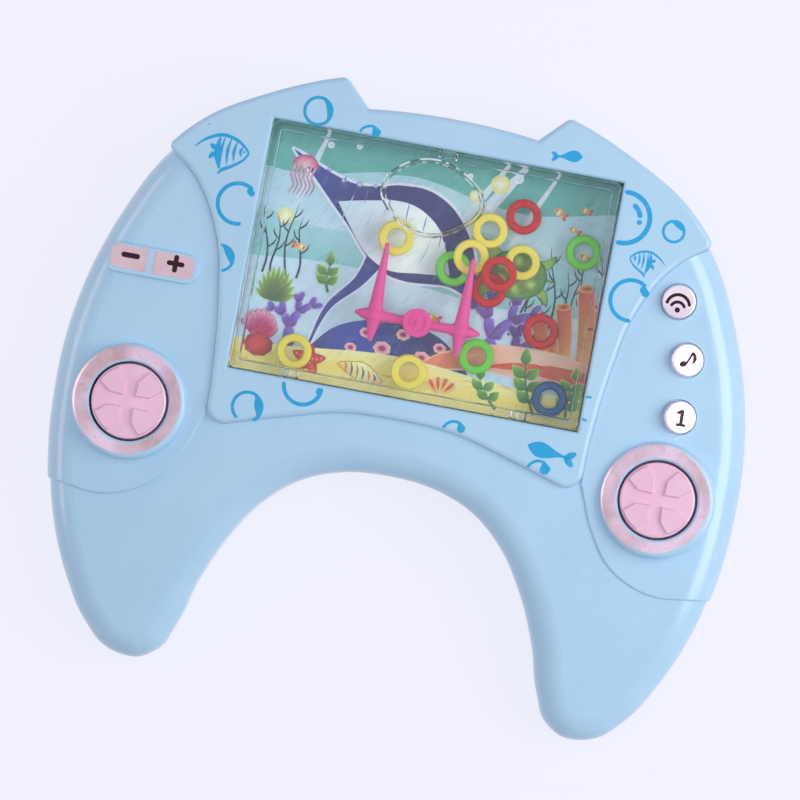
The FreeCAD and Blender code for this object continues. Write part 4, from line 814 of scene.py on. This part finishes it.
for k in range(60):
    x, y, r = rng.uniform(-30, 30), rng.uniform(0.3, 5.6), rng.uniform(0.06, 0.16)
    sea.disc(x, y, (r, r * 0.7), [BROWN_SAND if k % 3 else WHITE], 10)


def sprig(x, y, height, lean, pairs, size):
    """Broad two-tone leaves in pairs on a bent stem, with one more at its end."""
    t = np.linspace(0, 1, pairs + 2)
    stem = np.stack([x + lean * t + 0.5 * np.sin(3 * t), y + height * t], 1)
    sea.stroke(stem, [0.22, 0.18, 0.1], [DARK_LEAF], 11)
    leaf_widths = [0.1, size * 0.36, size * 0.3, 0.04]
    for k in range(1, pairs + 2):
        for side in (-1, 1) if k <= pairs else (0,):
            tip = stem[k] + (side * size * 0.95 + lean * 0.08, size * (0.75 if side else 1.3))
            bow = (stem[k] + tip) / 2 + (side * 0.1, -0.12)
            leaf_tones = [DARK_LEAF, LEAF, LIME]
            sea.stroke([stem[k], bow, tip], leaf_widths, leaf_tones, 11, 14, PALE_LIME, 0.1, light=0.3)


sprig(-28.0, 1.6, 6.6, -0.6, 3, 2.1)
sprig(-22.4, 1.2, 8.2, 2.8, 3, 2.4)
sprig(-15.8, 1.0, 4.6, 3.4, 2, 2.0)
sprig(16.4, 15.6, 4.6, 0.4, 2, 1.9)

# Sea turtle from above
turtle = np.array([-15.2, 24.6])
for ax, ay, bx, by, w in (
    (3.4, 2.6, 7.4, 5.4, 0.95), (3.6, -2.4, 6.8, -5.6, 0.95),
    (-3.8, 2.4, -6.2, 4.2, 0.6), (-3.8, -2.4, -6.0, -4.4, 0.6),
):
    flipper = [turtle + (ax * 0.7, ay * 0.7), turtle + (ax * 1.3, ay * 1.1), turtle + (bx, by)]
    sea.stroke(flipper, [w, w * 1.15, 0.15], [LEAF, LIME, LEAF], 6, 14, DARK_LEAF, 0.14)
sea.stroke([turtle + (-4.6, 0.0), turtle + (-6.8, -0.2)], [0.4, 0.06], [LEAF], 7)
turtle_neck = [turtle + (3.6, 0.0), turtle + (5.6, 0.1), turtle + (7.0, 0.2)]
sea.stroke(turtle_neck, [0.8, 1.15, 0.9], [LIME, LEAF], 6, 16, DARK_LEAF, 0.14, True)
for side in (-1, 1):
    sea.disc(*(turtle + (6.2, 0.15 + side * 0.75)), (0.17, 0.17), [KELP_BLACK], 8)
sea.disc(*turtle, (5.0, 4.0), [LIME, OLIVE, LEAF], 8, edge=DARK_LEAF)
for k in range(6):
    plate = spoke(*turtle, 3.0, 2.4, 60 * k + 30)
    sea.disc(*plate, (1.35, 1.15), [PALE_LIME, LIME, OLIVE], 10, 60 * k, 6, 0.05)
sea.disc(*turtle, (1.4, 1.2), [PALE_LIME, LIME, OLIVE], 10, 0, 6, 0.05)

# Pink jellyfish
sea.disc(24.2, 36.4, (2.3, 2.0), [PALE_SALMON, PINK, MAGENTA], 6, 0, span=(0, 180))
for k in range(6):
    x = 22.4 + 0.72 * k
    strand = [(x, 36.4), (x + 0.4, 34.6), (x - 0.3, 33.0), (x + 0.3, 31.2)]
    sea.stroke(strand, [0.2, 0.14, 0.1, 0.03], [PINK, MAGENTA], 6)


def little_fish(x, y, size, heading):
    """Small orange fish with a pale band."""
    c, s = math.cos(math.radians(heading)), math.sin(math.radians(heading))

    def at(a, b):
        return (x + size * (c * a - s * b), y + size * (s * a + c * b))

    for side in (1, -1):
        fin = [at(-0.45, 0), at(-0.7, 0.25 * side), at(-0.85, 0.3 * side)]
        sea.stroke(fin, [0.1 * size, 0.16 * size, 0.03], [EMBER], 6)
    body_widths = [0.02, 0.3 * size, 0.33 * size, 0.2 * size, 0.06]
    body_tones = [ORANGE, AMBER, EMBER]
    sea.stroke([at(0.6, 0), at(0.1, 0.02), at(-0.5, 0)], body_widths, body_tones, 6, 16, PALE_SALMON, 0.08)
    sea.stroke([at(0.12, 0.26), at(0.16, 0), at(0.12, -0.26)], [0.03, 0.09 * size, 0.03], [WHITE], 8)
    sea.disc(*at(0.38, 0.07), (0.07 * size, 0.07 * size), [KELP_BLACK], 8)


for x, y, size, heading in (
    (-26.4, 29.6, 1.9, 12), (-23.6, 33.9, 1.5, 18), (-20.6, 36.4, 1.8, 24), (-25.0, 37.6, 1.4, 10),
    (22.6, 22.6, 1.7, 188), (-2.2, 14.6, 2.0, 8),
):
    little_fish(x, y, size, heading)

# Fan shell and spiral shell
for k in range(9):
    rib = [(-5.8, 1.4)] + [spoke(-5.8, 1.4, reach, reach, 38 + 13 * k) for reach in (1.9, 3.5)]
    rib_tones = [PALE_SAND, EMBER, BROWN_SAND] if k % 2 else [PALE_SAND, AMBER, PALE_SALMON]
    sea.stroke(rib, [0.08, 0.26, 0.42], rib_tones, 11, 12, round_ends=True)
shell_line, shell_widths = [(4.4, 2.0), (8.2, 3.2), (12.4, 3.9)], [0.1, 1.0, 1.5, 1.0, 0.2]
sea.stroke(shell_line, shell_widths, [PALE_SALMON, PALE_SAND, AMBER], 10, 30, BROWN_SAND, 0.15, light=0.15)
for k in range(6):
    x, y = 5.8 + 1.05 * k, 2.45 + 0.22 * k
    w = 0.75 + 0.2 * k if k < 4 else 1.5 - 0.25 * (k - 3)
    whorl = [(x + 0.25, y + w), (x - 0.15, y), (x - 0.05, y - w)]
    sea.stroke(whorl, [0.04, 0.2, 0.04], [BROWN_SAND if k % 2 else MAUVE], 12)

# Starfish
star = np.array([17.6, 3.6])
for k in range(5):
    tip = np.array(spoke(*star, 3.0, 2.7, 72 * k + 20))
    arm = [star, (star + tip) / 2, tip]
    sea.stroke(arm, [1.0, 0.8, 0.2], [EMBER, RED, RED], 10, 14, DARK_RED, 0.12, True, 0.15)
    for share in (0.25, 0.5, 0.75):
        sea.disc(*(star + share * (tip - star)), (0.14, 0.14), [PALE_SALMON], 12)

# Anemone and rosette weed on the right
for k in range(9):
    a = 24 + 17 * k
    petal = [(26.6, 5.4), spoke(26.6, 6.4, 2.0, 2.2, a), spoke(27.0, 6.8, 3.3, 4.0, a)]
    sea.stroke(petal, [0.55, 0.6, 0.3], [ROSE, MAGENTA, PINK], 9, 14, WINE, 0.1, True, 0.2)
sea.disc(26.6, 4.6, (2.5, 2.0), [ROSE, RED, DARK_ROSE], 11, lobes=9, depth=0.04)
for k in range(11):
    a = 10 + 16 * k
    blade = [(25.4, 12.6), spoke(25.4, 12.9, 2.0, 2.4, a), spoke(25.4, 13.2, 3.4, 5.2, a)]
    sea.stroke(blade, [0.3, 0.55, 0.06], [DARK_LEAF, OLIVE, LIME], 6, 12, PALE_LIME, 0.1, light=0.3)

sea.turn_over()


def printed_card():
    """Offset print on coated card: painted hatching, fibres and a faint screen of dots over the ink colours."""
    f = Finish("printed_sea_scene", WATER, Specular_IOR_Level=0.05)
    tone = f.node("ShaderNodeAttribute", {"attribute_name": "tint"})
    hatch = f.noise(0.55, 3.0, 0.65, (1.0, 0.22, 1.0), 0.75)
    wash = f.noise(2.6, 3.0, 0.6)
    dots = f.node("ShaderNodeTexVoronoi", Vector=f.place(), Scale=4.5).ramp(0.1, 0.5)
    dark = f.blend(tone, paint(150, 142, 170), 1.0, "MULTIPLY")
    tone = f.blend(tone, dark, (hatch.ramp(0.5, 0.72) * 0.22 + wash.ramp(0.5, 0.8) * 0.12).clamped())
    tone = f.blend(tone, WHITE, (hatch.ramp(0.46, 0.3) * 0.1 + dots * 0.03).clamped())
    f.set(Base_Color=tone, Roughness=0.42 + wash * 0.1, Normal=f.bump(f.noise(0.25, 2.0), 0.004))
    return f.material


# The white card itself, open at the top, where the first band of ink closes it
card_corners = ((-TANK_X, TANK_LOW_Y), (TANK_X, TANK_LOW_Y), (TANK_X, TANK_HIGH_Y), (-TANK_X, TANK_HIGH_Y))
sea.points.append(np.array([(x, y, z) for z in CARD_Z for x, y in card_corners]))
sea.tints.append(np.repeat([WHITE[:3]], 8, 0))
sea.faces.append(sea.count + np.array([[3, 2, 1, 0], [0, 1, 5, 4], [1, 2, 6, 5], [2, 3, 7, 6], [3, 0, 4, 7]]))
picture = sea.build("sea_picture", printed_card(), "picture")
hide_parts("picture_card")


# ---------------------------------------------------------------- water and its air bubble

WATER_Z = (9.02, 17.98)
WATER_HALF_X, WATER_HALF_Y, WATER_MIDDLE_Y = 29.05, 20.2, 21.55
WATER_CORNER = 0.7
BUBBLE_X, BUBBLE_Y = -1.3, 34.75
BUBBLE_SIDE = (
    (0.004, 17.97), (0.5, 17.97), (0.9, 17.97), (0.955, 17.95), (0.978, 17.86), (0.992, 17.7), (1.0, 17.45),
    (0.999, 17.2), (0.99, 16.9), (0.968, 16.55), (0.93, 16.2), (0.87, 15.85), (0.78, 15.5), (0.66, 15.25),
    (0.5, 15.1), (0.3, 15.02), (0.12, 15.0), (0.004, 15.0),
)


def loops(name, x, y, z, material, capped=True, smooth=True):
    """Mesh from rows of closed loops: a flat face over each end, or else the last row joined to the first."""
    rows, cols = x.shape
    i, j = np.meshgrid(np.arange(rows - 1 if capped else rows), np.arange(cols), indexing="ij")
    up, on = (i + 1) % rows, (j + 1) % cols
    quads = np.stack([i * cols + j, i * cols + on, up * cols + on, up * cols + j], -1).reshape(-1, 4).tolist()
    last = (rows - 1) * cols
    caps = [list(range(cols))[::-1], list(range(last, last + cols))] if capped else []
    mesh = bpy.data.meshes.new(name)
    mesh.from_pydata((np.stack([x, y, z], -1).reshape(-1, 3) * MM).tolist(), [], quads + caps)
    mesh.polygons.foreach_set("use_smooth", [smooth] * len(quads) + [False] * len(caps))
    return settle(name, mesh, material)


def bubble_outline(a):
    """Flattened round: (8.5 cos a, 6.5 sin a) swelled by three slow waves."""
    swell = 1 + 0.018 * np.cos(2 * a + 0.6) + 0.02 * np.cos(3 * a - 0.8) + 0.03 * np.cos(4 * a)
    return 8.5 * swell * np.cos(a), 6.5 * swell * np.sin(a)


def air_material():
    """Air in water: bends light the other way round, so its rim gleams and darkens."""
    clear = (1.0, 1.0, 1.0, 1.0)
    f = Finish("air_in_water", clear)
    let_light_in(f, f.node("ShaderNodeBsdfGlass", Color=clear, Roughness=0.0, IOR=0.93), clear)
    return f.material


def painted_bubble_rim():
    """Curved water edge round the bubble, with painted highlights and painted shade by turns and a painted
    golden-brown reflection low on the right.
    """
    f = Finish("bubble_painted_rim", WHITE, Roughness=0.12, IOR=1.33)
    x, y = (f.node("ShaderNodeSeparateXYZ", out=axis, Vector=f.place()) for axis in (0, 1))
    painted_gleam = f.noise(1.3, 2.0)
    # Near white is a painted highlight and dark teal is painted shade, alternating along the rim.
    tone = f.blend(paint(54, 92, 92), paint(250, 254, 254), painted_gleam.ramp(0.46, 0.54))
    # Golden brown low on the right, where x - y is large, is a painted reflection.
    f.set(Base_Color=f.blend(tone, paint(164, 124, 50), (x - y).ramp(-32.0, -25.0) * painted_gleam.ramp(0.4, 0.52)))
    f.set(Alpha=0.6 + painted_gleam * 0.4, Roughness=0.08 + painted_gleam * 0.1)
    return f.material


turn = np.linspace(0, 2 * math.pi, 129)[:-1]
outline_x, outline_y = bubble_outline(turn)
share, level = smooth_line(BUBBLE_SIDE, 69)[::-1].T[:, :, None]
level = np.repeat(level, len(turn), 1)
loops("air_bubble", BUBBLE_X + share * outline_x, BUBBLE_Y + share * outline_y, level, air_material())


def hoop(name, share, height, thick, material):
    """Thin closed tube on the bubble's outline: outline(a) * share with a round section of radius thick."""
    section = np.linspace(0, 2 * math.pi, 9)[:-1, None]
    grow = share + thick * np.cos(section) / np.hypot(outline_x, outline_y)
    z = height + thick * np.repeat(np.sin(section), len(turn), 1)
    loops(name, BUBBLE_X + grow * outline_x, BUBBLE_Y + grow * outline_y, z, material, capped=False)


# The two tubes on the bubble's outline carry painted highlights, painted shade and a painted reflection.
painted_rim_material = painted_bubble_rim()
hoop("bubble_painted_rim_outer", 1.012, 17.7, 0.15, painted_rim_material)
hoop("bubble_painted_rim_inner", 0.93, 17.86, 0.08, painted_rim_material)


def water_material():
    """Clean water: a faint blue-green cast and a slow ripple that bends what lies below a little."""
    f = Finish("tank_water", paint(250, 255, 255), Transmission_Weight=1.0, IOR=1.03, Roughness=0.0)
    f.set(Normal=f.bump(f.noise(9.0, 2.0), 0.02, 0.3))
    return f.material


def water_outline():
    """Rectangle with round corners: a quarter circle of points at each corner in turn."""
    across, along = [], []
    for k, (side_x, side_y) in enumerate(((1, -1), (1, 1), (-1, 1), (-1, -1))):
        a = np.linspace(0, math.pi / 2, 5) + (k - 1) * math.pi / 2
        across.append(side_x * (WATER_HALF_X - WATER_CORNER) + WATER_CORNER * np.cos(a))
        along.append(WATER_MIDDLE_Y + side_y * (WATER_HALF_Y - WATER_CORNER) + WATER_CORNER * np.sin(a))
    return np.concatenate(across), np.concatenate(along)


rim_x, rim_y = (np.tile(part, (2, 1)) for part in water_outline())
rim_z = np.repeat(np.array(WATER_Z)[:, None], rim_x.shape[1], 1)
water = loops("tank_water", rim_x, rim_y, rim_z, water_material(), smooth=False)
water.visible_shadow = False
water.visible_diffuse = False


# ---------------------------------------------------------------- floor, world and lamps

BACKGROUND = paint(241, 241, 253)
FLOOR_HALF = 3.0
FLOOR_DROP = 0.00002


def floor_material():
    """Pale card that keeps the shadow and shows the photograph's background."""
    f = Finish("studio_floor", tinted(BACKGROUND, 0.92), Roughness=0.9, Specular_IOR_Level=0.1)
    f.set(Base_Color=f.blend(tinted(BACKGROUND, 0.93), tinted(BACKGROUND, 0.9), f.noise(40.0, 2.0)))
    glow = f.node("ShaderNodeEmission", Color=BACKGROUND, Strength=1.05)
    seen = rays(f.tree, Camera=1.0, Glossy=1.0, Transmission=1.0)
    f.shaders(Val(f.tree, f.surface.outputs[0]), glow, seen * 0.85)
    return f.material


floor_mesh = bpy.data.meshes.new("studio_floor")
floor_corners = [(x * FLOOR_HALF, y * FLOOR_HALF, 0) for x, y in ((-1, -1), (1, -1), (1, 1), (-1, 1))]
floor_mesh.from_pydata(floor_corners, [], [(0, 1, 2, 3)])
floor_mesh.materials.append(floor_material())
floor = bpy.data.objects.new("studio_floor", floor_mesh)
floor.location.z = -FLOOR_DROP
bpy.context.scene.collection.objects.link(floor)

world = bpy.data.worlds.new("studio")
bpy.context.scene.world = world
world.use_nodes = True
backdrop = world.node_tree.nodes["Background"]
backdrop.inputs["Color"].default_value = paint(243, 245, 255)
seen = rays(world.node_tree, Camera=1.0, Transmission=1.0, Glossy=0.88)
feed(world.node_tree, backdrop.inputs["Strength"], seen * 0.75 + 0.25)


def lamp(name, place, size, power, colour, gloss=True):
    """Soft rectangular lamp aimed at the middle of the toy; one without gloss leaves no bright patch on flat faces."""
    data = bpy.data.lights.new(name, "AREA")
    data.shape = "RECTANGLE"
    data.size, data.size_y = size
    data.energy = power
    data.color = colour
    obj = bpy.data.objects.new(name, data)
    x, y, z = place
    obj.location = place
    obj.rotation_euler = (math.atan2(math.hypot(x, y), z), 0.0, math.atan2(x, -y))
    obj.visible_glossy = gloss
    bpy.context.scene.collection.objects.link(obj)


lamp("soft_overhead", (-0.05, 0.02, 1.2), (0.8, 0.8), 4.3, (0.97, 0.98, 1.0), False)
lamp("key_right", (0.42, 0.06, 0.34), (0.5, 0.34), 1.9, (1.0, 0.985, 0.96))
lamp("fill_left", (-0.5, 0.02, 0.16), (0.5, 0.16), 0.6, (1.0, 0.84, 0.78))

bpy.context.scene.view_settings.view_transform = "Standard"
